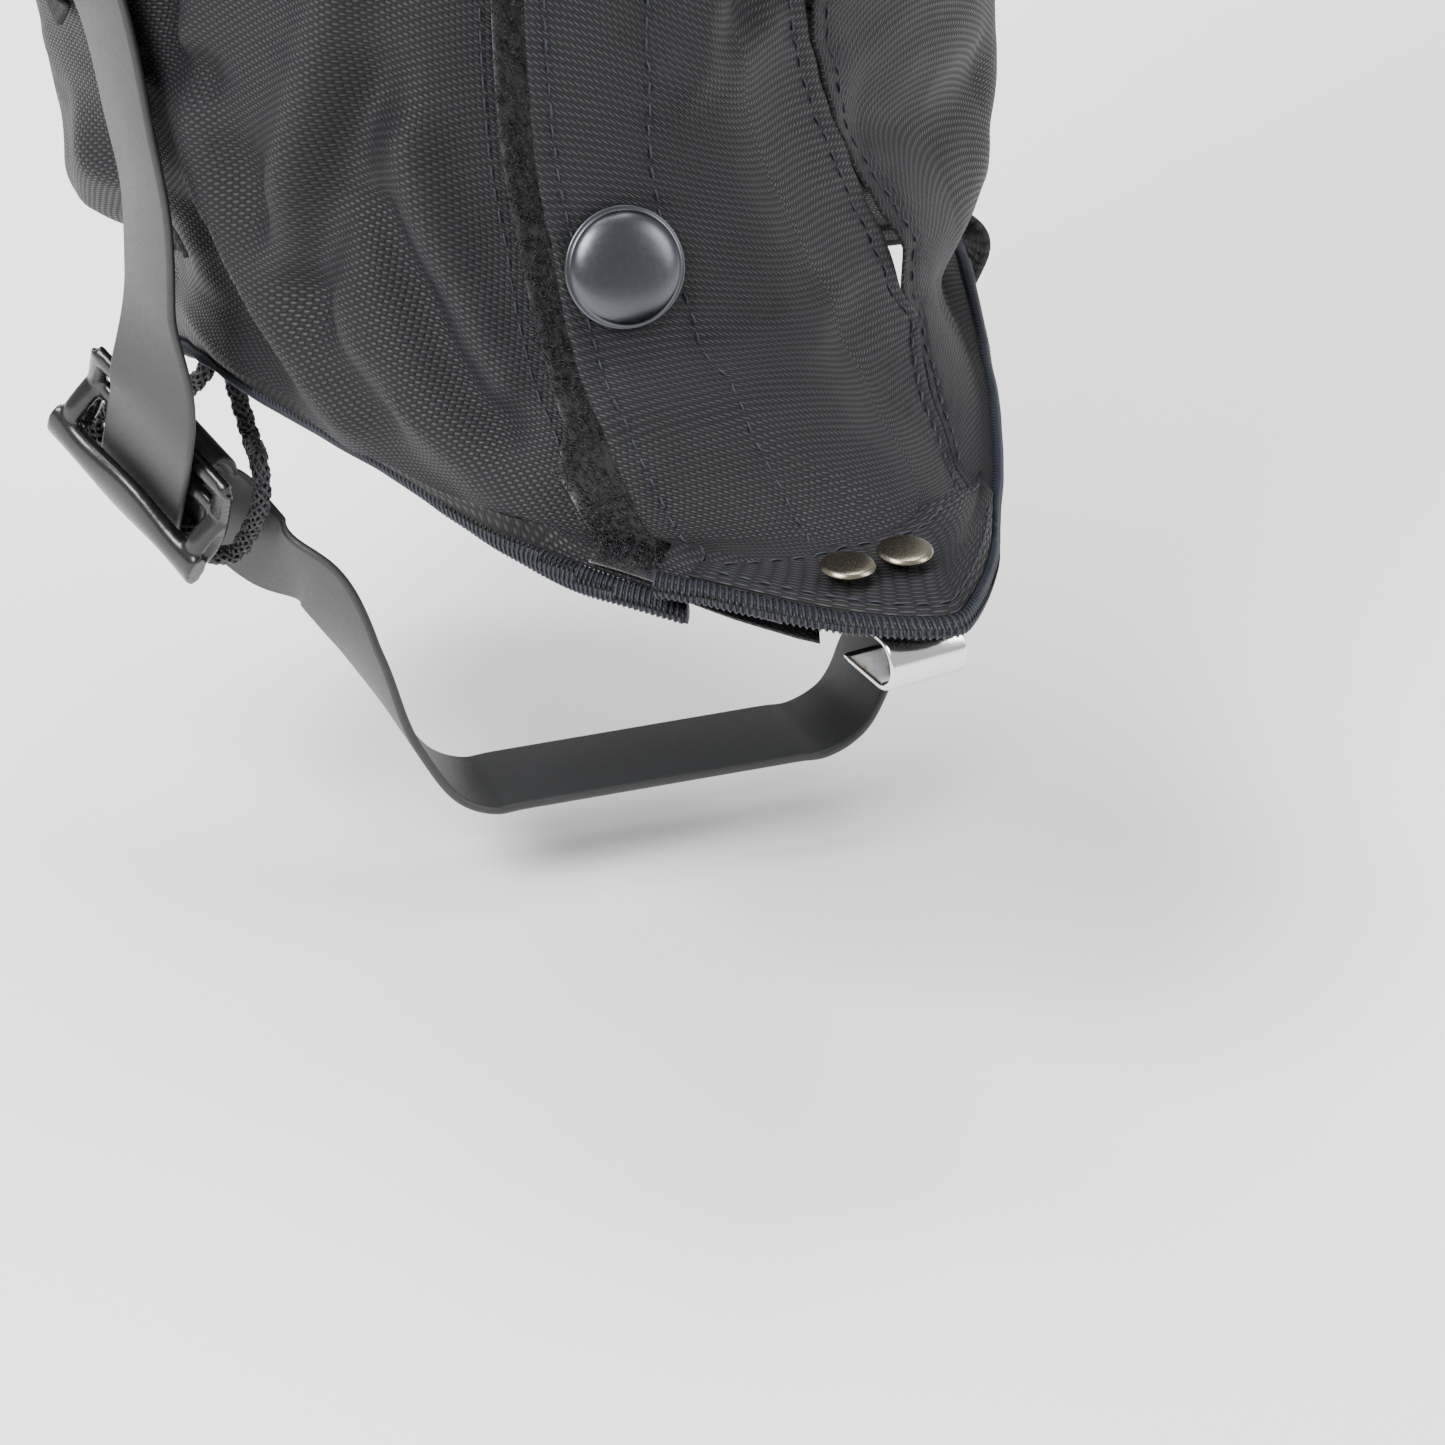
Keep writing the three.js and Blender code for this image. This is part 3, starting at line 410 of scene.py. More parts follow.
def spread_line(pairs, count=40):
    """Points at even steps along a list of (u, v) places."""
    places = np.array(pairs, float)
    steps = np.linspace(0, len(places) - 1, count)
    index = np.arange(len(places))
    return np.interp(steps, index, places[:, 0]), np.interp(steps, index, places[:, 1])


def distance_to(points, line):
    best = np.full(len(points), 1e9)
    for place in line:
        best = np.minimum(best, ((points - place) ** 2).sum(1))
    return np.sqrt(best)


def folded(base, folds):
    total = np.zeros(len(base))
    for places, height, width in folds:
        near = distance_to(base, sleeve(*spread_line(places)))
        total += height * np.exp(-((near / width) ** 2))
    return total


def wander(points, size, seed):
    """Smooth noise from -1 to 1, with features about size millimetres long."""
    shift = Vector((seed * 7.3, seed * 3.1, seed * 5.7))
    return np.array([noise.noise(Vector(p) / size + shift) for p in points])


class Cloth:
    """One panel: its edges, its height over the sleeve, its folds and its rows of stitches."""

    def __init__(self, left, right, folds, lift=None, seams=(), crumple=0.5, seed=1, v_to=TOP, depth=1.0):
        self.left, self.right, self.folds = left, right, folds
        self.lift = lift or (lambda u, v: np.zeros_like(u))
        self.seams = seams
        self.crumple = crumple
        self.seed = seed
        self.v_to = v_to
        self.depth = depth

    def relief(self, u, v, base):
        """How far folds, crumples and seams move the cloth off its plain shape."""
        total = self.depth * folded(base, self.folds) * smooth(v, 0.0, 0.5) * smooth(self.v_to - v, 0.0, 0.35)
        stretched = base * np.array([1, 1, 2.2])
        total += self.crumple * wander(stretched, 21, self.seed)
        total += 0.35 * self.crumple * wander(stretched, 9, self.seed + 3)
        for line in self.seams:
            near = distance_to(base, line)
            wave = np.sin(2 * math.pi * (base[:, 2] + 0.6 * base[:, 0]) / PUCKERS)
            total += 0.22 * wave * np.exp(-((near / 4.0) ** 2)) - 0.45 * np.exp(-((near / 0.9) ** 2))
        return total

    def place(self, u, v, extra=0.0):
        """Points on the cloth's outer face."""
        u, v = np.asarray(u, float), np.asarray(v, float)
        base = sleeve(u, v)
        height = self.lift(u, v) + FABRIC + self.relief(u, v, base) + extra
        return base + sleeve_frame(u, v)[2] * height[:, None]


# ------------------------------------------------------------------ mesh helpers
def new_object(name, points, faces, material, uv=None, smooth_faces=True):
    mesh = bpy.data.meshes.new(name)
    mesh.from_pydata((np.asarray(points) * MM).tolist(), [], faces)
    mesh.validate()
    mesh.update()
    mesh.materials.append(material)
    if smooth_faces:
        mesh.polygons.foreach_set("use_smooth", [True] * len(mesh.polygons))
    if uv is not None:
        layer = mesh.uv_layers.new(name="weave")
        corners = np.zeros(len(mesh.loops), int)
        mesh.loops.foreach_get("vertex_index", corners)
        layer.data.foreach_set("uv", np.asarray(uv)[corners].ravel())
    made = bpy.data.objects.new(name, mesh)
    bpy.context.scene.collection.objects.link(made)
    return made


# Cloth that crosses the medial side seam is attached to neither the sleeve nor the front panel; its transform
# is baked into its mesh.
BENDING = "bending"


def finish_piece(piece, body, slot, *nodes):
    if body == BENDING:
        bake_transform(piece)
    else:
        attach(piece, body)
    if nodes:
        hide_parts(*nodes)
    return piece


def grid_faces(columns, rows, offset=0, flip=False):
    quads = []
    for j in range(rows - 1):
        for i in range(columns - 1):
            a = offset + j * columns + i
            quad = (a, a + 1, a + columns + 1, a + columns)
            quads.append(quad[::-1] if flip else quad)
    return quads


def rim_of(columns, rows):
    rim = list(range(columns))
    rim += [j * columns + columns - 1 for j in range(1, rows)]
    rim += [(rows - 1) * columns + i for i in range(columns - 2, -1, -1)]
    rim += [j * columns for j in range(rows - 2, 0, -1)]
    return rim


def shell(outer, inner, columns, rows):
    """Points and faces of a closed sheet between two grids."""
    layer = columns * rows
    faces = grid_faces(columns, rows) + grid_faces(columns, rows, layer, flip=True)
    rim = rim_of(columns, rows)
    for a, b in zip(rim, rim[1:] + rim[:1]):
        faces.append((b, a, a + layer, b + layer))
    return np.vstack([outer, inner]), faces


def rows_for(v_from, v_to, fine=1.3, coarse=2.6):
    """Ring numbers at even steps up the sleeve: fine below the ankle, coarser above it."""
    v = np.linspace(v_from, v_to, 400)
    length = np.linalg.norm(np.diff(sleeve(np.full(400, -40.0), v), axis=0), axis=1)
    step = np.where(v[:-1] < 4.8, fine, coarse)
    count = np.concatenate([[0], np.cumsum(length / step)])
    return np.interp(np.linspace(0, count[-1], int(count[-1]) + 2), count, v)


CLOTH_THICK = 0.55
PANEL_SHIFT, WEAVE_SHIFT = 500, 100  # keep the weave's places above 0, in millimetres


def cloth_piece(name, cloth, columns, material, v_from=0.0):
    levels = rows_for(v_from, cloth.v_to)
    share = np.linspace(0, 1, columns)
    v = np.repeat(levels, columns)
    left, right = cloth.left(levels), cloth.right(levels)
    u = (left[:, None] + (right - left)[:, None] * share).ravel()
    outer = cloth.place(u, v)
    inner = outer - sleeve_frame(u, v)[2] * CLOTH_THICK
    points, faces = shell(outer, inner, columns, len(levels))
    grid = sleeve(u, v).reshape(len(levels), columns, 3)
    step_u = np.linalg.norm(np.diff(grid, axis=1), axis=2)
    step_v = np.linalg.norm(np.diff(grid, axis=0), axis=2)
    across = np.pad(np.cumsum(step_u, 1), ((0, 0), (1, 0)))
    across += PANEL_SHIFT - across[:, columns // 2][:, None]
    upward = np.pad(np.cumsum(step_v, 0), ((1, 0), (0, 0)))
    uv = np.stack([across.ravel(), upward.ravel() + WEAVE_SHIFT], 1)
    return new_object(name, points, faces, material, np.vstack([uv, uv]))


def path_frames(points, sides):
    """Unit tangents, widths and faces along a path, widths being turned square to it."""
    tangents = unit(np.gradient(points, axis=0))
    wides = unit(sides - (sides * tangents).sum(1)[:, None] * tangents)
    return tangents, wides, np.cross(tangents, wides)


def catmull(points, count):
    """A centripetal Catmull-Rom curve through points, at even steps of its parameter."""
    points = np.asarray(points, float)
    first, last = 2 * points[0] - points[1], 2 * points[-1] - points[-2]
    padded = np.vstack([first, points, last])
    steps = np.linspace(0, len(points) - 1, count)
    made = []
    for s in steps:
        i = min(int(s), len(points) - 2)
        t = s - i
        a, b, c, d = padded[i : i + 4]
        dt0, dt1, dt2 = (max(np.linalg.norm(q - p) ** 0.5, 1e-4) for p, q in ((a, b), (b, c), (c, d)))
        t1 = ((b - a) / dt0 - (c - a) / (dt0 + dt1) + (c - b) / dt1) * dt1
        t2 = ((c - b) / dt1 - (d - b) / (dt1 + dt2) + (d - c) / dt2) * dt1
        cubic = (2 * b - 2 * c + t1 + t2) * t**3 + (3 * c - 3 * b - 2 * t1 - t2) * t**2
        made.append(cubic + t1 * t + b)
    return np.array(made)


def tube_sides(size, count):
    """Faces between the rings of a tube: count rings of size points each."""
    faces = []
    for k in range(count - 1):
        for i in range(size):
            a, b = k * size + i, k * size + (i + 1) % size
            faces.append((a, b, b + size, a + size))
    return faces


def sweep(name, centres, wides, faces_dir, profile, material):
    """A closed profile of (wide, face) pairs carried along a path."""
    profile = np.asarray(profile, float)
    size, count = len(profile), len(centres)
    points = (
        centres[:, None]
        + wides[:, None] * profile[None, :, 0, None]
        + faces_dir[:, None] * profile[None, :, 1, None]
    ).reshape(-1, 3)
    faces = tube_sides(size, count)
    faces.append(tuple(range(size))[::-1])
    faces.append(tuple(range((count - 1) * size, count * size)))
    length = distances(centres)
    girth = distances(np.vstack([profile, profile[:1]]))
    uv = np.stack([np.tile(girth[:-1], count), np.repeat(length, size)], 1) + WEAVE_SHIFT
    return new_object(name, points, faces, material, uv)


def rounded_strip(width, thick, steps=4):
    """The section of a strap with round edges."""
    w, r = width / 2 - thick / 2, thick / 2
    turn = np.linspace(-math.pi / 2, math.pi / 2, steps * 2)
    right = [(w + r * math.cos(a), r * math.sin(a)) for a in turn]
    return right + [(-x, -y) for x, y in right]


def ellipse(width, height, sides):
    turn = np.linspace(0, 2 * math.pi, sides, endpoint=False)
    return np.stack([width / 2 * np.cos(turn), height / 2 * np.sin(turn)], 1)


def threads(name, paths, radius, material, sides=5):
    """Many short threads in one mesh; each path is an array of points."""
    points, faces = [], []
    total = 0
    for path in paths:
        tangents = unit(np.gradient(path, axis=0))
        guess = np.where(np.abs(tangents[:, 2:]) > 0.8, [[1.0, 0, 0]], [[0, 0, 1.0]])
        side = unit(np.cross(tangents, guess))
        other = np.cross(tangents, side)
        count = len(path)
        taper = np.ones(count)
        taper[[0, -1]] = 0.35
        for k in range(sides):
            turn = 2 * math.pi * k / sides
            ring = side * math.cos(turn) + other * math.sin(turn)
            points.append(path + ring * (radius * taper)[:, None])
        for k in range(sides):
            a0, b0 = total + k * count, total + (k + 1) % sides * count
            faces += [(a0 + j, b0 + j, b0 + j + 1, a0 + j + 1) for j in range(count - 1)]
        faces.append(tuple(total + k * count for k in range(sides))[::-1])
        faces.append(tuple(total + k * count + count - 1 for k in range(sides)))
        total += sides * count
    return new_object(name, np.vstack(points), faces, material)


def turned(name, pairs, place, direction, material, segments=72):
    """A turned piece from (radius, height) pairs; pairs that start off the axis close on themselves."""
    on_axis = pairs[0][0] == 0
    profile = np.array(pairs if on_axis else pairs[:-1], float)
    turn = np.linspace(0, 2 * math.pi, segments, endpoint=False)
    direction = Vector(direction).normalized()
    spin = np.array(direction.to_track_quat("Z", "Y").to_matrix())
    rings = [
        np.stack([r * np.cos(turn), r * np.sin(turn), np.full(segments, h)], 1) for r, h in profile
    ]
    points = np.vstack(rings) @ spin.T + np.asarray(place)
    faces = []
    count = len(profile)
    for k in range(count if not on_axis else count - 1):
        for i in range(segments):
            a, b = k * segments + i, k * segments + (i + 1) % segments
            c, d = (k + 1) % count * segments + (i + 1) % segments, (k + 1) % count * segments + i
            faces.append((a, b, c, d))
    made = new_object(name, points, faces, material)
    weld = made.modifiers.new("weld", "WELD")
    weld.merge_threshold = 1e-6
    bake(made)
    return made


def bake(piece):
    """Applies every modifier of a piece to its mesh."""
    graph = bpy.context.evaluated_depsgraph_get()
    mesh = bpy.data.meshes.new_from_object(piece.evaluated_get(graph))
    piece.modifiers.clear()
    piece.data = mesh


def round_profile(corners, radius, steps=5):
    """A line of (radius, height) corners with each inner corner rounded."""
    made = [corners[0]]
    for a, b, c in zip(corners, corners[1:], corners[2:]):
        a, b, c = (np.array(p, float) for p in (a, b, c))
        reach = min(radius, np.linalg.norm(a - b) * 0.48, np.linalg.norm(c - b) * 0.48)
        start, end = b + unit(a - b) * reach, b + unit(c - b) * reach
        for t in np.linspace(0, 1, steps):
            made.append(tuple((1 - t) ** 2 * start + 2 * t * (1 - t) * b + t * t * end))
    made.append(corners[-1])
    return made


make_camera()
MATERIAL = make_materials()

# ------------------------------------------------------------------ rows of stitches
FLAP_TURN = 2.0  # degrees from the flap's free edge to its edge stitch
SEAM_TURN = 2.2
STITCH, STITCH_GAP, THREAD = 2.5, 0.7, 0.2
OVERCAST_PITCH = 0.95


def up_line(edge, shift, v_from=0.05, v_to=8.95, count=220):
    v = np.linspace(v_from, v_to, count)
    return edge(v) + shift, v


def stitches_on(cloth, u, v, rise=0.12):
    """Thread paths along a line of (u, v) places on a cloth."""
    points = cloth.place(u, v, rise)
    length = distances(points)
    paths = []
    for start in np.arange(0.5, length[-1] - STITCH, STITCH + STITCH_GAP):
        at = np.linspace(start, start + STITCH, 5)
        line = np.stack([np.interp(at, length, points[:, k]) for k in range(3)], 1)
        out = sleeve_frame(np.interp(at, length, u), np.interp(at, length, v))[2]
        dip = np.array([-0.3, 0.02, 0.08, 0.02, -0.3])
        paths.append(line + out * dip[:, None])
    return paths


def sewn(name, paths, body):
    return finish_piece(threads(name, paths, THREAD, MATERIAL["thread"]), body, "nylon")


def seam_line(u, v):
    return sleeve(u, v)[::2]


EDGE_ROW = up_line(flap_edge, FLAP_TURN)
SECOND_ROW = [(0.9, -7), (1.27, -4.8), (1.65, -0.8), (2.02, 2.3), (2.6, 3.8), (3.3, 4.4), (4.1, 5.8), (9, 6)]
SECOND_LINE = up_line(lambda v: along(SECOND_ROW, v), 0, 0.95, 8.95)
SEAM_ROW = up_line(front_seam, -SEAM_TURN, 0.75, 8.95)
MEDIAL_ROW = up_line(front_seam, SEAM_TURN, 0.05, 8.95)
CALF_ROW = up_line(lambda v: np.full_like(v, CALF_SEAM + 2.0 - 360), 0)
TAPE_ROW = up_line(flap_edge, -4.6, 0.2, 8.9)


def edge_of(angle):
    return lambda v: np.full_like(np.asarray(v, float), angle)


LATERAL = Cloth(
    edge_of(CALF_SEAM + SEAM_GAP - 360), lateral_edge, LATERAL_FOLDS,
    seams=[seam_line(*CALF_ROW)], crumple=0.9, seed=1, depth=1.3,
)
CALF = Cloth(edge_of(SIDE_SEAM + SEAM_GAP), edge_of(CALF_SEAM - SEAM_GAP), CALF_FOLDS, crumple=0.8, seed=2)
FLAP = Cloth(
    flap_edge, lambda v: front_seam(v) - SEAM_GAP, FRONT_FOLDS, flap_lift,
    seams=[seam_line(*EDGE_ROW), seam_line(*SECOND_LINE), seam_line(*SEAM_ROW)], crumple=0.45, seed=3,
)
MEDIAL = Cloth(
    lambda v: front_seam(v) + SEAM_GAP, edge_of(SIDE_SEAM - SEAM_GAP), MEDIAL_FOLDS, flap_lift,
    seams=[seam_line(*MEDIAL_ROW)], crumple=0.6, seed=4,
)


def make_panels():
    made = {}
    for name, cloth, columns, body, node in (
        ("lateral", LATERAL, 100, SLEEVE, "lateral_panel"),
        ("calf", CALF, 120, SLEEVE, "calf_panel"),
        ("flap", FLAP, 60, FRONT, "front_flap_panel"),
        ("medial", MEDIAL, 60, BENDING, "medial_panel"),
    ):
        piece = cloth_piece(f"{name}_cloth", cloth, columns, MATERIAL["nylon"])
        made[name] = finish_piece(piece, body, "nylon", node)
    return made


# ------------------------------------------------------------------ toe patch
PATCH_TOP = [(-14, 0.2), (-9.8, 0.64), (-4.9, 0.95), (2.5, 1.09), (6.8, 1.02), (14, 0.6)]
PATCH_GAP = 1.0


def patch_height(u, v):
    return flap_lift(u, v) + PATCH_GAP - 0.35


PATCH_FROM, PATCH_TO = -14, 14
TOE_PATCH = Cloth(edge_of(PATCH_FROM), edge_of(PATCH_TO), [], patch_height, crumple=0.15, seed=5)


def make_toe_patch():
    columns, rows = 48, 26
    share_u, share_v = np.meshgrid(np.linspace(0, 1, columns), np.linspace(0, 1, rows))
    u = PATCH_FROM + (PATCH_TO - PATCH_FROM) * share_u.ravel()
    v = share_v.ravel() * along(PATCH_TOP, u)
    edge = np.minimum(share_v.ravel(), 1 - share_v.ravel())
    outer = TOE_PATCH.place(u, v, -0.5 * np.exp(-((edge / 0.03) ** 2)))
    inner = outer - sleeve_frame(u, v)[2] * 0.9
    points, faces = shell(outer, inner, columns, rows)
    flat = np.stack([u * 0.9, v * 24], 1) + WEAVE_SHIFT
    piece = new_object("toe_patch_cloth", points, faces, MATERIAL["nylon"], np.vstack([flat, flat]))
    finish_piece(piece, FRONT, "nylon", "toe_patch")
    u = np.linspace(-13, 12.5, 60)
    top_row = stitches_on(TOE_PATCH, u, along(PATCH_TOP, u) - 0.09)
    low_row = stitches_on(TOE_PATCH, u, np.full(60, 0.1))
    sewn("toe_patch_stitches", top_row + low_row, FRONT)
    return piece


# ------------------------------------------------------------------ hems
def hem_line(cloth_of, stops):
    """Centres, up and outward directions of the rolled hem below the panels' lower edges."""
    u = np.asarray(stops, float)
    v = np.zeros_like(u)
    _, up, out = sleeve_frame(u, v)
    outer = np.vstack([cloth_of(a).place(np.array([a]), np.array([0.0])) for a in u])
    return outer - out * (CLOTH_THICK / 2 + 0.2) - up * 1.9, up, out


def make_hem(name, cloth_of, u_from, u_to, body, node):
    """A rolled edge of the same cloth, wrapped by a fine overcast thread."""
    stops = np.linspace(u_from, u_to, max(60, int(abs(u_to - u_from) * 2.2)))
    centres, up, out = hem_line(cloth_of, stops)
    piece = sweep(name, centres, up, out, ellipse(3.7, 2.1, 14), MATERIAL["nylon"])
    finish_piece(piece, body, "binding", node)
    length = distances(centres)
    paths = []
    for k in range(int(length[-1] / OVERCAST_PITCH)):
        at = np.linspace(k, k + 0.62, 9) * OVERCAST_PITCH
        turn = np.linspace(-0.4, 2 * math.pi * 0.72, 9)
        middle, rise, away = (
            np.stack([np.interp(at, length, rows[:, i]) for i in range(3)], 1) for rows in (centres, up, out)
        )
        wrap = rise * (1.95 * np.cos(turn))[:, None] + away * (1.15 * np.sin(turn))[:, None]
        paths.append(middle + wrap)
    over = threads(name + "_overcast", paths, 0.24, MATERIAL["thread"], sides=4)
    finish_piece(over, body, "binding")


class Shifted:
    """The lateral panel named by angles past 235 degrees, as the hem's line runs on from the calf."""

    def place(self, u, v, extra=0.0):
        return LATERAL.place(u - 360, v, extra)


def make_hems():
    past_calf = Shifted()
    make_hem(
        "rear_hem", lambda u: CALF if u < CALF_SEAM else past_calf,
        SIDE_SEAM + SEAM_GAP, 360 + flap_edge(0) + 1.5, SLEEVE, "hem_binding_rear",
    )
    make_hem(
        "front_hem", lambda u: FLAP if u < front_seam(0) else MEDIAL,
        flap_edge(0), SIDE_SEAM - SEAM_GAP, BENDING, "hem_binding_front",
    )


def make_stitch_rows():
    front = []
    for row in (EDGE_ROW, SECOND_LINE, SEAM_ROW):
        front += stitches_on(FLAP, *row)
    sewn("flap_stitches", front, FRONT)
    sewn("medial_stitches", stitches_on(MEDIAL, *MEDIAL_ROW), BENDING)
    sewn("sleeve_stitches", stitches_on(LATERAL, *CALF_ROW) + stitches_on(LATERAL, *TAPE_ROW), SLEEVE)


# ------------------------------------------------------------------ hook-and-loop tapes
TAPE_INSET = 2
FIBRES = 9000
TAPE_LEFT = [(0.0, -5.2), (0.9, -5.0), (1.6, -5.6), (1.95, -3.2), (2.3, -2.8), (3, -3.2), (9, -3.4)]


def loop_left(v):
    return flap_edge(v) + along(TAPE_LEFT, v)


def make_loop_tape():
    tape = Cloth(
        loop_left, lambda v: lateral_edge(v) - TAPE_INSET, LATERAL_FOLDS,
        lambda u, v: np.full_like(u, 1.2), crumple=0.9, seed=1, depth=1.3,
    )
    piece = cloth_piece("loop_tape_base", tape, 18, MATERIAL["pile"], v_from=0.05)
    finish_piece(piece, SLEEVE, "pile", "loop_tape")
    rng = np.random.default_rng(7)
    paths = []
    v = rng.uniform(0.05, 8.9, FIBRES)
    share = rng.beta(0.9, 1.6, FIBRES)
    left, right = loop_left(v), flap_edge(v) + 3.0
    u = left + share * (right - left)
    feet = tape.place(u, v)
    around, up, out = sleeve_frame(u, v)
    lean = rng.normal(0, 0.55, (FIBRES, 2))
    height = rng.uniform(0.5, 1.15, FIBRES)
    for k in range(FIBRES):
        side = around[k] * lean[k, 0] + up[k] * lean[k, 1]
        tip = feet[k] + out[k] * height[k] + side
        back = feet[k] + side * 1.5 + out[k] * height[k] * 0.25
        paths.append(np.array([feet[k], (feet[k] + tip) / 2 + out[k] * 0.12, tip, back]))
    fuzz = threads("loop_tape_pile", paths, 0.055, MATERIAL["fibre"], sides=3)
    finish_piece(fuzz, SLEEVE, "pile")
    return piece


def make_hook_tape():
    tape = Cloth(
        lambda v: flap_edge(v) + 1.5, lambda v: lateral_edge(v) - TAPE_INSET, FRONT_FOLDS,
        lambda u, v: flap_lift(u, v) - 2.0, crumple=0.2, seed=3,
    )
    piece = cloth_piece("hook_tape_base", tape, 14, MATERIAL["pile"], v_from=0.3)
    return finish_piece(piece, FRONT, "pile", "hook_tape")


# ------------------------------------------------------------------ casings and elastics
def ribbed(half, count, front, dent, back):
    """The section of a flat elastic, ribbed on both faces."""
    ribs = [(x, front - dent * (k % 2)) for k, x in enumerate(np.linspace(-half, half, count))]
    return ribs + [(x, back + 0.2 * (k % 2)) for k, x in enumerate(np.linspace(half, -half, count))]


def band(name, u_from, u_to, v, profile, material, lift=None):
    stops = np.linspace(u_from, u_to, max(40, int(abs(u_to - u_from))))
    level = np.full_like(stops, v)
    _, up, out = sleeve_frame(stops, level)
    height = lift(stops, level) if lift else np.zeros_like(stops)
    gathers = 0.45 * np.sin(stops * 0.9) + 0.3 * np.sin(stops * 2.13 + 1)
    centres = sleeve(stops, level) + out * (height + gathers)[:, None]
    return sweep(name, centres, up, out, profile, material)


def make_casings():
    leg, outer, inner = 0.8, 1.5, -1.9
    rear = [(-22, outer), (2.0, outer), (2.6, outer - 0.4), (2.6, inner + 0.4), (2.0, inner), (-22, inner)]
    folded_over = [(x, y + (leg if y > 0 else -leg)) for x, y in rear]
    profile = folded_over + rear[::-1]
    last = 360 + flap_edge(TOP) - 5
    piece = band("top_casing", SIDE_SEAM + SEAM_GAP, last, TOP, profile, MATERIAL["nylon"])
    finish_piece(piece, SLEEVE, "nylon", "top_casing_rear")
    cover = [(-22, 1.5), (-22, 2.5), (1.6, 2.5), (2.5, 2.1), (2.5, 1.5)]
    front = band(
        "top_casing_flap", float(flap_edge(TOP)), SIDE_SEAM - SEAM_GAP, TOP, cover,
        MATERIAL["nylon"], flap_lift,
    )
    finish_piece(front, BENDING, "nylon", "top_casing_front")
    strip = ribbed(6, 17, -0.5, 0.25, -1.55)
    last = 360 + flap_edge(TOP) - 17
    elastic = band("top_elastic_band", SIDE_SEAM + 4, last, TOP - 0.17, strip, MATERIAL["elastic"])
    finish_piece(elastic, SLEEVE, "elastic", "top_elastic")
    strip = ribbed(8, 21, -1.0, 0.3, -2.1)
    ankle = band("ankle_elastic_band", SIDE_SEAM + 6, 285, 3, strip, MATERIAL["elastic"])
    finish_piece(ankle, SLEEVE, "elastic", "ankle_elastic")
    return piece, front


# ------------------------------------------------------------------ snaps, rivets and lace hook
LOWER_SNAP, UPPER_SNAP = (-0.5, 2.84), (0.5, 8.3)
PATCH_RIVETS = [(-5.5, 0.37), (-1.8, 0.59)]
SNAP_RADIUS, RIVET_RADIUS = 8.75, 4.0


def stand(u, v):
    """The place and direction of a fastener that stands on the sleeve at u and v."""
    u, v = np.array([float(u)]), np.array([float(v)])
    return sleeve(u, v)[0], sleeve_frame(u, v)[2][0]


def dome(radius, base, crown, count=16):
    """A domed cap's profile from its rim to its middle."""
    turn = np.linspace(0, math.pi / 2, count)
    return [(radius * math.cos(a), base + crown * math.sin(a)) for a in turn]


def domed(corners, rounding, radius, base, crown, count=16):
    """A cap's profile: its rounded corners, then its dome up to the axis."""
    cap = round_profile(corners, rounding) + dome(radius, base, crown, count)[1:]
    cap[-1] = (0, cap[-1][1])
    return cap


def make_snap(prefix, place):
    at, direction = stand(*place)
    r = SNAP_RADIUS
    rim = [(0, 4.5), (1.8, 4.5), (1.8, 6.8), (r - 1.0, 6.8), (r - 0.15, 7.0), (r, 7.35)]
    rim += [(r - 0.2, 7.7), (r - 0.75, 7.75)]
    socket = [(3.0, 3.6), (6.0, 3.6), (6.0, 4.25), (3.0, 4.25), (3.0, 3.6)]
    stud = [(0, 1.9), (6, 1.9), (6, 2.6), (1.9, 2.6), (2.1, 3.3), (1.7, 3.9), (0, 4.05)]
    back_plate = [(0, -2), (5, -2), (5, -0.9), (2, -0.9), (2, 1.5), (0, 1.5)]
    shapes = {
        "cap": (domed(rim, 0.35, r - 0.85, 7.7, 2.55), FRONT),
        "socket": (round_profile(socket, 0.2), FRONT),
        "stud": (round_profile(stud, 0.25), SLEEVE),
        "back_plate": (round_profile(back_plate, 0.25), SLEEVE),
    }
    for part, (profile, body) in shapes.items():
        name = f"{prefix}_{part}"
        piece = turned(name + "_metal", profile, at, direction, MATERIAL["snap_metal"])
        finish_piece(piece, body, "snap_metal", name)


def make_rivet(prefix, suffix, body, stance, heights, burr, segments):
    """A rivet's domed head on its shank, and the burr behind the cloth."""
    at, direction = stance
    foot, head, edge, crown = heights
    low, high, wide = burr
    r = RIVET_RADIUS
    corners = [(0, foot), (1.2, foot), (1.2, head), (r - 0.25, head), (r, head + 0.3), (r - 0.3, edge)]
    cap = domed(corners, 0.25, r - 0.35, edge, crown, 9)
    piece = turned(f"{prefix}_head{suffix}", cap, at, direction, MATERIAL["rivet_metal"], segments)
    finish_piece(piece, body, "rivet_metal", f"{prefix}_cap{suffix}")
    ring = round_profile([(1.5, low), (wide, low), (wide, high), (1.5, high), (1.5, low)], 0.2)
    piece = turned(f"{prefix}_ring{suffix}", ring, at, direction, MATERIAL["rivet_metal"], 40)
    finish_piece(piece, body, "rivet_metal", f"{prefix}_burr{suffix}")


def make_rivets():
    head = FLAP_LIFT + 2 * FABRIC + PATCH_GAP + 0.2
    for k, place in enumerate(PATCH_RIVETS, 1):
        heights = (1.35, head, head + 0.75, 0.42)
        make_rivet("patch_rivet", f"_{k}", FRONT, stand(*place), heights, (1.3, 2.1, 2.6), 56)


HOOK_WIDTH, HOOK_PLATE, HOOK_BEND, HOOK_TOP = 12, 1.0, 3.5, 3.6
HOOK_BACK, HOOK_FRONT, HOOK_LIP = -6, 11, 9


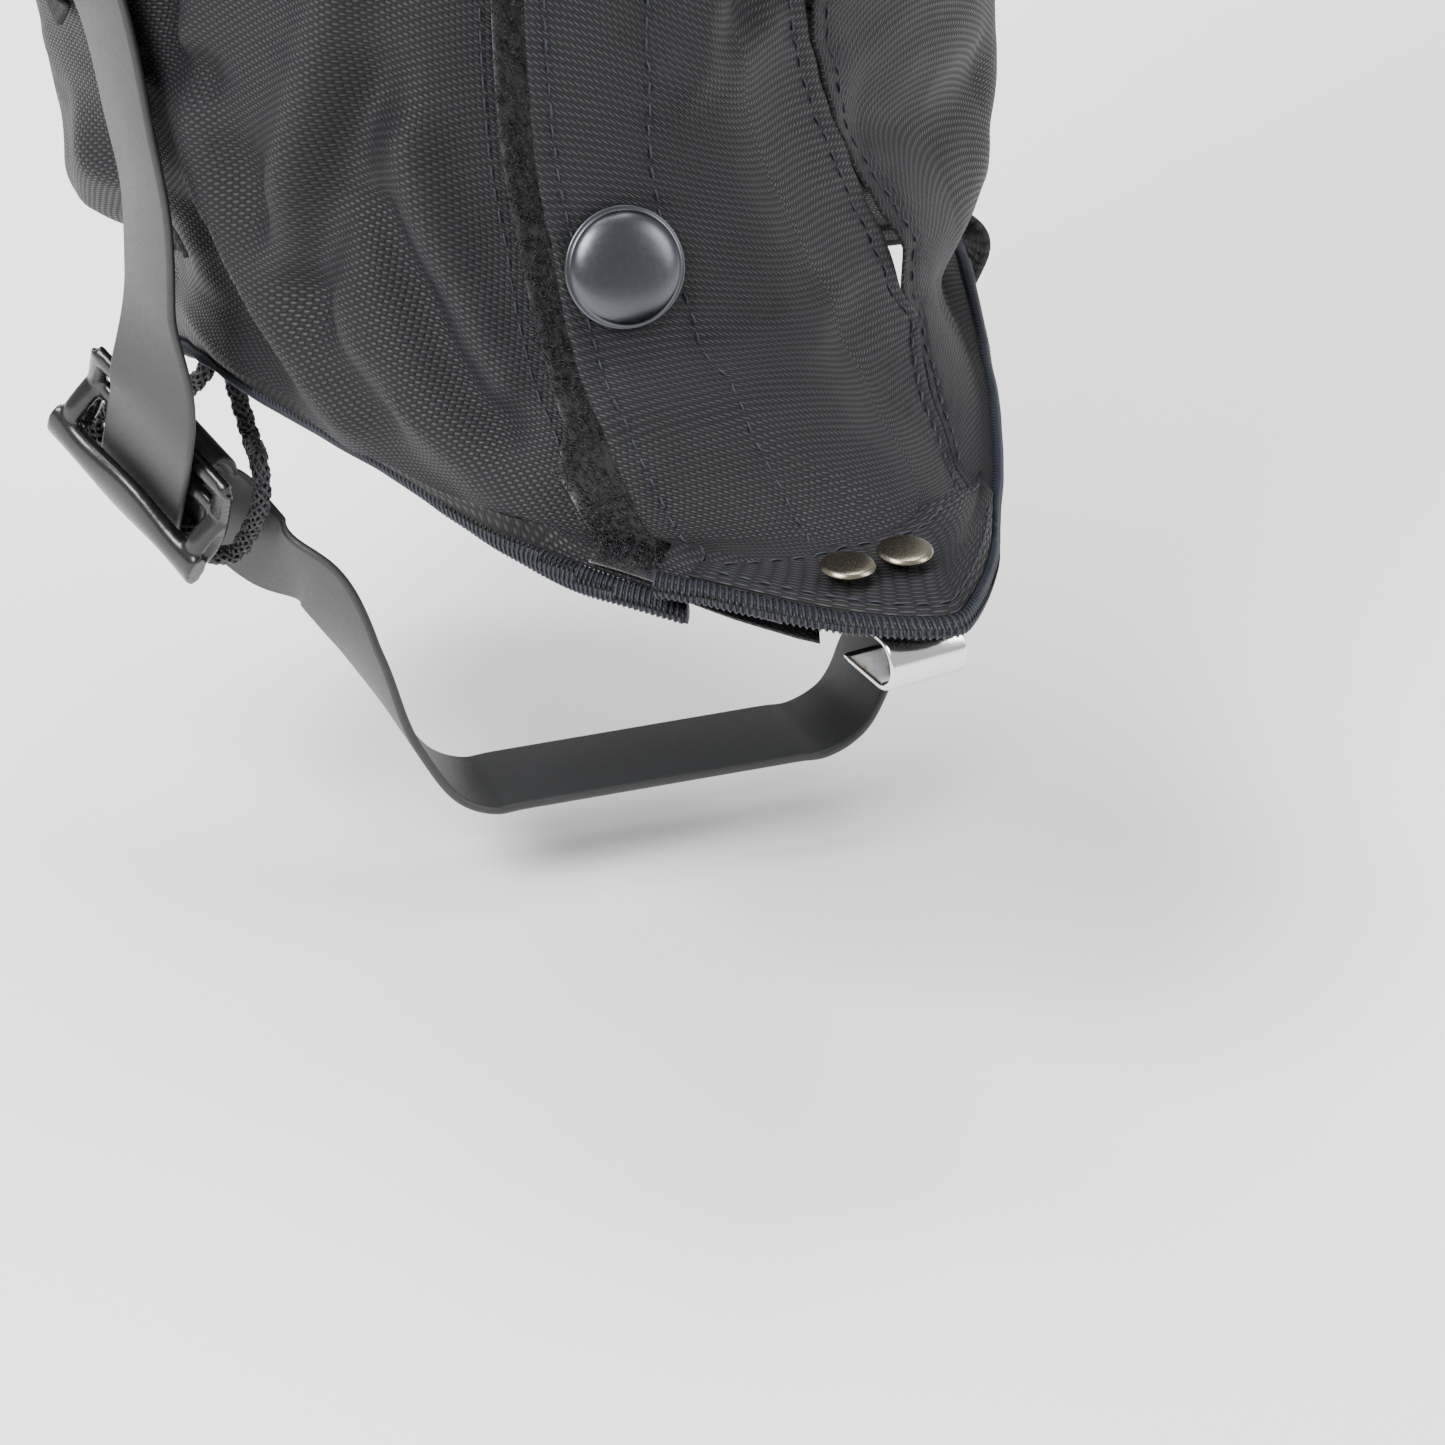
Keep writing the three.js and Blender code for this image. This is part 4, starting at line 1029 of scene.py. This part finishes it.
def make_lace_hook():
    (p1, n1), (p2, n2) = (stand(*place) for place in PATCH_RIVETS)
    up = unit(n1 + n2)
    forward = np.array([0.16, -0.97, 0.0])
    forward = unit(forward - up * (forward @ up))
    across = np.cross(forward, up)
    origin = (p1 + p2) / 2 + up * (HOOK_TOP - HOOK_PLATE / 2)
    turn = np.linspace(math.pi / 2, -math.pi / 2, 22)
    line = [(x, 0.0) for x in np.linspace(HOOK_BACK, HOOK_FRONT, 16)[:-1]]
    line += [(HOOK_FRONT + HOOK_BEND * math.cos(a), -HOOK_BEND + HOOK_BEND * math.sin(a)) for a in turn]
    line += [(HOOK_FRONT - d, -2 * HOOK_BEND) for d in np.linspace(0, HOOK_LIP, 8)[1:]]
    centres = np.array([origin + forward * x + up * y for x, y in line])
    tangents = unit(np.gradient(centres, axis=0))
    wides = np.tile(across, (len(centres), 1))
    faces_dir = np.cross(tangents, wides)
    strip = rounded_strip(HOOK_WIDTH, HOOK_PLATE, 5)
    piece = sweep("lace_hook_metal", centres, wides, faces_dir, strip, MATERIAL["nickel"])
    return finish_piece(piece, FRONT, "nickel", "lace_hook")


# ------------------------------------------------------------------ strap, tab, keeper and slider
BAR = unit(np.array([0.43, -0.745, -0.51]))
PULL = unit(np.array([-0.06, -0.588, 0.807]))
OUT = np.cross(BAR, PULL)
SLIDER_BAR = np.array([-70.3, 20.4, 50.1])
STACK, BIGHT_AT = 2.4, -5.5
STRAP_WIDTH, STRAP_THICK = 18, 1.4
KEEPER = (-76, 4.72)
TAIL_HEIGHT = 3.6
TOE = (0, -1, 0)
TAIL_WIDE = (0.1, -0.72, 0.68)


def in_slider(along_bar, along_strap, outward):
    return SLIDER_BAR + BAR * along_bar + PULL * along_strap + OUT * outward


def on_sleeve(u, v, height):
    return lifted(np.array([float(u)]), np.array([float(v)]), np.array([float(height)]))[0]


def strap_stations():
    stations = [
        ((55.4, 27, 54.5), (0, -0.98, 0.05)), ((54.2, 25, 43), (0, -0.98, 0.15)),
        ((50.6, 19, 31), (0, -0.95, 0.3)), ((45, 10, 20), (0, -0.95, 0.25)),
        ((38, 2.5, 9.5), TOE), ((32.5, 0, 2.2), TOE),
    ]
    stations += [((x, 0, -STRAP_THICK / 2), TOE) for x in (27, 22, 0, -22, -27)]
    stations += [
        ((-32.5, 0, 2.2), TOE), ((-38.5, 0.5, 11.5), TOE), ((-44, 3.5, 24), (0.2, -0.97, 0.05)),
        ((-49, 8.5, 33.5), (0.4, -0.9, 0.1)), ((-55, 14.5, 37.5), (0.55, -0.82, 0.18)),
        ((-60, 19, 43.5), (0.6, -0.76, 0)), (in_slider(1.5, 2, -7.2), BAR), (in_slider(0.5, 8, -6.8), BAR),
        (in_slider(0, 11.4, -4.6), BAR), (in_slider(0, 8, -STACK), BAR), (in_slider(0, 0, -STACK), BAR),
        (in_slider(0, BIGHT_AT, -STACK), BAR),
    ]
    for degrees in (-60, 0, 60):
        angle = math.radians(degrees)
        back = BIGHT_AT - STACK * math.cos(angle)
        stations.append((in_slider(0, back, STACK * math.sin(angle)), BAR))
    stations += [(in_slider(0, t, STACK), BAR) for t in (BIGHT_AT, 8, 22)]
    stations += [
        ((-73.4, 6.5, 86), (0.1, -0.99, 0)), ((-73.8, 5, 101), (0.1, -0.99, 0.05)),
        ((-75.4, 6, 113), (0.1, -0.95, 0.2)), (on_sleeve(-71, 4.4, TAIL_HEIGHT), (0.1, -0.85, 0.45)),
        (on_sleeve(*KEEPER, TAIL_HEIGHT), TAIL_WIDE), (on_sleeve(-81, 5.02, TAIL_HEIGHT), TAIL_WIDE),
    ]
    return stations


def ribbon(name, stations, width, thick, material, count):
    centres = catmull([at for at, _ in stations], count)
    sides = catmull([wide for _, wide in stations], count)
    _, wides, faces_dir = path_frames(centres, sides)
    return sweep(name, centres, wides, faces_dir, rounded_strip(width, thick), material)


def make_strap():
    strap = ribbon("strap_band", strap_stations(), STRAP_WIDTH, STRAP_THICK, MATERIAL["strap"], 420)
    finish_piece(strap, SLEEVE, "strap", "instep_strap")
    around = -sleeve_frame(np.array([93.0]), np.array([0.0]))[0][0]
    tab = [
        (on_sleeve(93, 0.9, 4.2), around), (on_sleeve(93, 0, 4.0), around), (below_hem(93, 5, 3.4), around),
        ((57.5, 27, 54), (0, -0.98, 0.05)), ((56.8, 25.6, 45), (0, -0.98, 0.15)),
    ]
    webbing = ribbon("tab_webbing", tab, 18, 1.3, MATERIAL["webbing"], 60)
    finish_piece(webbing, SLEEVE, "webbing", "medial_tab")
    stance = np.array([55, 26.2, 50]), unit(np.array([1, 0, -0.06]))
    make_rivet("tab_rivet", "", SLEEVE, stance, (-1.4, 3.2, 3.9, 0.45), (-2.2, -1.3, 2.8), 48)


def make_keeper():
    around, up, out = (rows[0] for rows in sleeve_frame(np.array([KEEPER[0]]), np.array([KEEPER[1]])))
    across = np.array(TAIL_WIDE) - out * (np.array(TAIL_WIDE) @ out)
    across = unit(across)
    base = on_sleeve(*KEEPER, 0)
    wide = np.cross(out, across)
    stations = []
    for side, height in ((-17, 2.6), (-12, 2.6), (-9.6, 5.9), (0, 6.3), (9.6, 5.9), (12, 2.6), (17, 2.6)):
        du, dv = side * (across @ around) / 1.35, side * (across @ up) / 42
        foot = on_sleeve(KEEPER[0] + du, KEEPER[1] + dv, height)
        stations.append((base + across * side + out * height if height > 3 else foot, wide))
    piece = ribbon("keeper_webbing", stations, 14, 1.2, MATERIAL["webbing"], 90)
    finish_piece(piece, SLEEVE, "webbing", "strap_keeper")


OVAL_SIDES = 20
RAIL_AT, RAIL_WIDTH = 14.3, 3.6


def swept_solid(centres, sections, wide, face):
    """A solid whose elliptical section (width, height) changes along its path."""
    rings = []
    for centre, (w, h) in zip(centres, sections):
        oval = ellipse(w, h, OVAL_SIDES)
        rings.append(centre + wide * oval[:, :1] + face * oval[:, 1:])
    last = (len(rings) - 1) * OVAL_SIDES
    faces = [tuple(range(OVAL_SIDES))[::-1]] + tube_sides(OVAL_SIDES, len(rings))
    faces.append(tuple(range(last, last + OVAL_SIDES)))
    return np.vstack(rings), faces


def waved_bar(along_strap, outward, width, height, reach, wave=0.0):
    """A bar across the slider, which may swell and sway along its length."""
    b = np.linspace(-reach, reach, 25)
    swell = 1 + wave * np.cos(b / reach * math.pi * 1.5)
    sway = wave * 2.0 * np.sin(b / reach * math.pi)
    centres = np.array([in_slider(x, along_strap + s, outward) for x, s in zip(b, sway)])
    return swept_solid(centres, [(width * s, height) for s in swell], PULL, OUT)


def end_rail(side, path, count, heights, tilt):
    """A rail at one end of the slider; heights are (place, height) pairs along it."""
    fine = catmull([(a, b, 0) for a, b in path], count)
    centres = np.array([in_slider(side * RAIL_AT, a, b) for a, b, _ in fine])
    return swept_solid(centres, [(RAIL_WIDTH, h) for h in along(heights, fine[:, 0])], BAR, tilt)


def make_slider():
    """Moulded body: a waved outer bar, two inner bars and end rails, fused and smoothed."""
    lower = [(-1.4, 4.6), (-0.6, 3.0), (1.2, 1.2), (4.5, 0.3), (9, 0.0), (15.9, 0.0)]
    upper = [(0, 4.9), (3.0, 4.5), (5.5, 2.6), (7.5, 0.6)]
    parts = [waved_bar(-0.3, 5.5, 7.4, 3.9, 16.6, 0.17)]
    parts.append(waved_bar(8.0, 0.0, 3.9, 2.4, 15.0))
    parts.append(waved_bar(15.6, 0.0, 3.7, 2.4, 15.0))
    for side in (-1, 1):
        heights = [(-1.4, 4.2), (2, 3.4), (16, 3.2)]
        parts.append(end_rail(side, lower, 30, heights, unit(OUT * 0.75 + PULL * 0.65)))
        parts.append(end_rail(side, upper, 16, [(0, 2.8), (1, 2.8)], unit(OUT * 0.7 + PULL * 0.7)))
    points, faces, total = [], [], 0
    for part_points, part_faces in parts:
        points.append(part_points)
        faces += [tuple(i + total for i in face) for face in part_faces]
        total += len(part_points)
    piece = new_object("slider_moulding", np.vstack(points), faces, MATERIAL["plastic"])
    remesh = piece.modifiers.new("fuse", "REMESH")
    remesh.mode = "VOXEL"
    remesh.voxel_size = 0.00032
    remesh.use_smooth_shade = True
    rounding = piece.modifiers.new("round", "SMOOTH")
    rounding.factor = 0.5
    rounding.iterations = 9
    bake(piece)
    return finish_piece(piece, SLIDER, "plastic", "strap_slider")


# ------------------------------------------------------------------ braided cord
CORD_RADIUS = 1.4
CORD_FROM, CORD_TO, CORD_DEPTH = -101, -93, -3.4


def below_hem(u, drop, height):
    _, up, out = (rows[0] for rows in sleeve_frame(np.array([float(u)]), np.array([0.0])))
    return on_sleeve(u, 0, 0) - up * drop + out * height


def cord_route():
    return [
        on_sleeve(CORD_FROM, 0.2, CORD_DEPTH), below_hem(CORD_FROM, 3, CORD_DEPTH),
        below_hem(CORD_FROM, 6.5, -0.5), (-63, 41, 51.5), (-71, 39.5, 52.5),
        in_slider(-14, BIGHT_AT, 0), in_slider(-10, BIGHT_AT, 0), in_slider(0, BIGHT_AT, 0),
        in_slider(10, BIGHT_AT, 0), in_slider(13.6, BIGHT_AT, -0.3), in_slider(15.8, BIGHT_AT + 0.6, -2.7),
        in_slider(16, -1, -5), in_slider(15.5, 6, -7.2), (-57.3, 8.5, 55), (-55.8, 18, 54.6),
        below_hem(CORD_TO, 6.5, -2.4), below_hem(CORD_TO, 3, CORD_DEPTH), on_sleeve(CORD_TO, 0.2, CORD_DEPTH),
    ]


def make_cord():
    """Six strands each way, passing over and under each other round a core."""
    centres = catmull(cord_route(), 900)
    length = distances(centres)
    tangents = unit(np.gradient(centres, axis=0))
    side = [unit(np.cross(tangents[0], [0, 0, 1.0]))]
    for tangent in tangents[1:]:
        side.append(unit(side[-1] - tangent * (side[-1] @ tangent)))
    side = np.array(side)
    other = np.cross(tangents, side)
    lay, strands, core = 9.0, 6, CORD_RADIUS - 0.42
    paths = []
    for sense in (-1, 1):
        for k in range(strands):
            turn = sense * 2 * math.pi * length / lay + 2 * math.pi * k / strands
            phase = (0 if sense > 0 else math.pi) + math.pi * k
            weave = 0.14 * np.sin(strands * 2 * math.pi * length / lay + phase)
            reach = core + 0.17 + weave
            ring = side * (reach * np.cos(turn))[:, None] + other * (reach * np.sin(turn))[:, None]
            paths.append(centres + ring)
    strand_mesh = threads("cord_strands", paths, 0.3, MATERIAL["cord"], sides=5)
    section = ellipse(2 * core, 2 * core, 10)
    tube = sweep("cord_core", centres[::4], side[::4], other[::4], section, MATERIAL["cord"])
    finish_piece(tube, SLEEVE, "cord", "hem_cord")
    finish_piece(strand_mesh, SLEEVE, "cord")
    middle = (CORD_FROM + CORD_TO) / 2
    wide = -sleeve_frame(np.array([middle]), np.array([0.5]))[0][0]
    tab = [(on_sleeve(middle, v, CORD_DEPTH), wide) for v in (1.9, 1.3, 0.7)]
    webbing = ribbon("cord_tab_webbing", tab, 15, 2.2, MATERIAL["webbing"], 30)
    finish_piece(webbing, SLEEVE, "webbing", "cord_tab")
    return tube, strand_mesh, centres, float(length[-1])


def make_floor():
    mesh = bpy.data.meshes.new("floor")
    reach = 4.0
    corners = [(x * reach, y * reach, FLOOR_Z) for x, y in ((-1, -1), (1, -1), (1, 1), (-1, 1))]
    mesh.from_pydata(corners, [], [(0, 1, 2, 3)])
    mesh.materials.append(MATERIAL["floor"])
    floor = bpy.data.objects.new("floor", mesh)
    bpy.context.scene.collection.objects.link(floor)


make_lights()
make_floor()
cord_tube, cord_strands, cord_line, cord_length = make_cord()
panels = make_panels()
toe_patch = make_toe_patch()
make_hems()
make_stitch_rows()
loop_tape = make_loop_tape()
hook_tape = make_hook_tape()
casing_rear, casing_front = make_casings()
make_snap("lower_snap", LOWER_SNAP)
make_snap("upper_snap", UPPER_SNAP)
make_rivets()
make_lace_hook()
make_strap()
make_keeper()
make_slider()
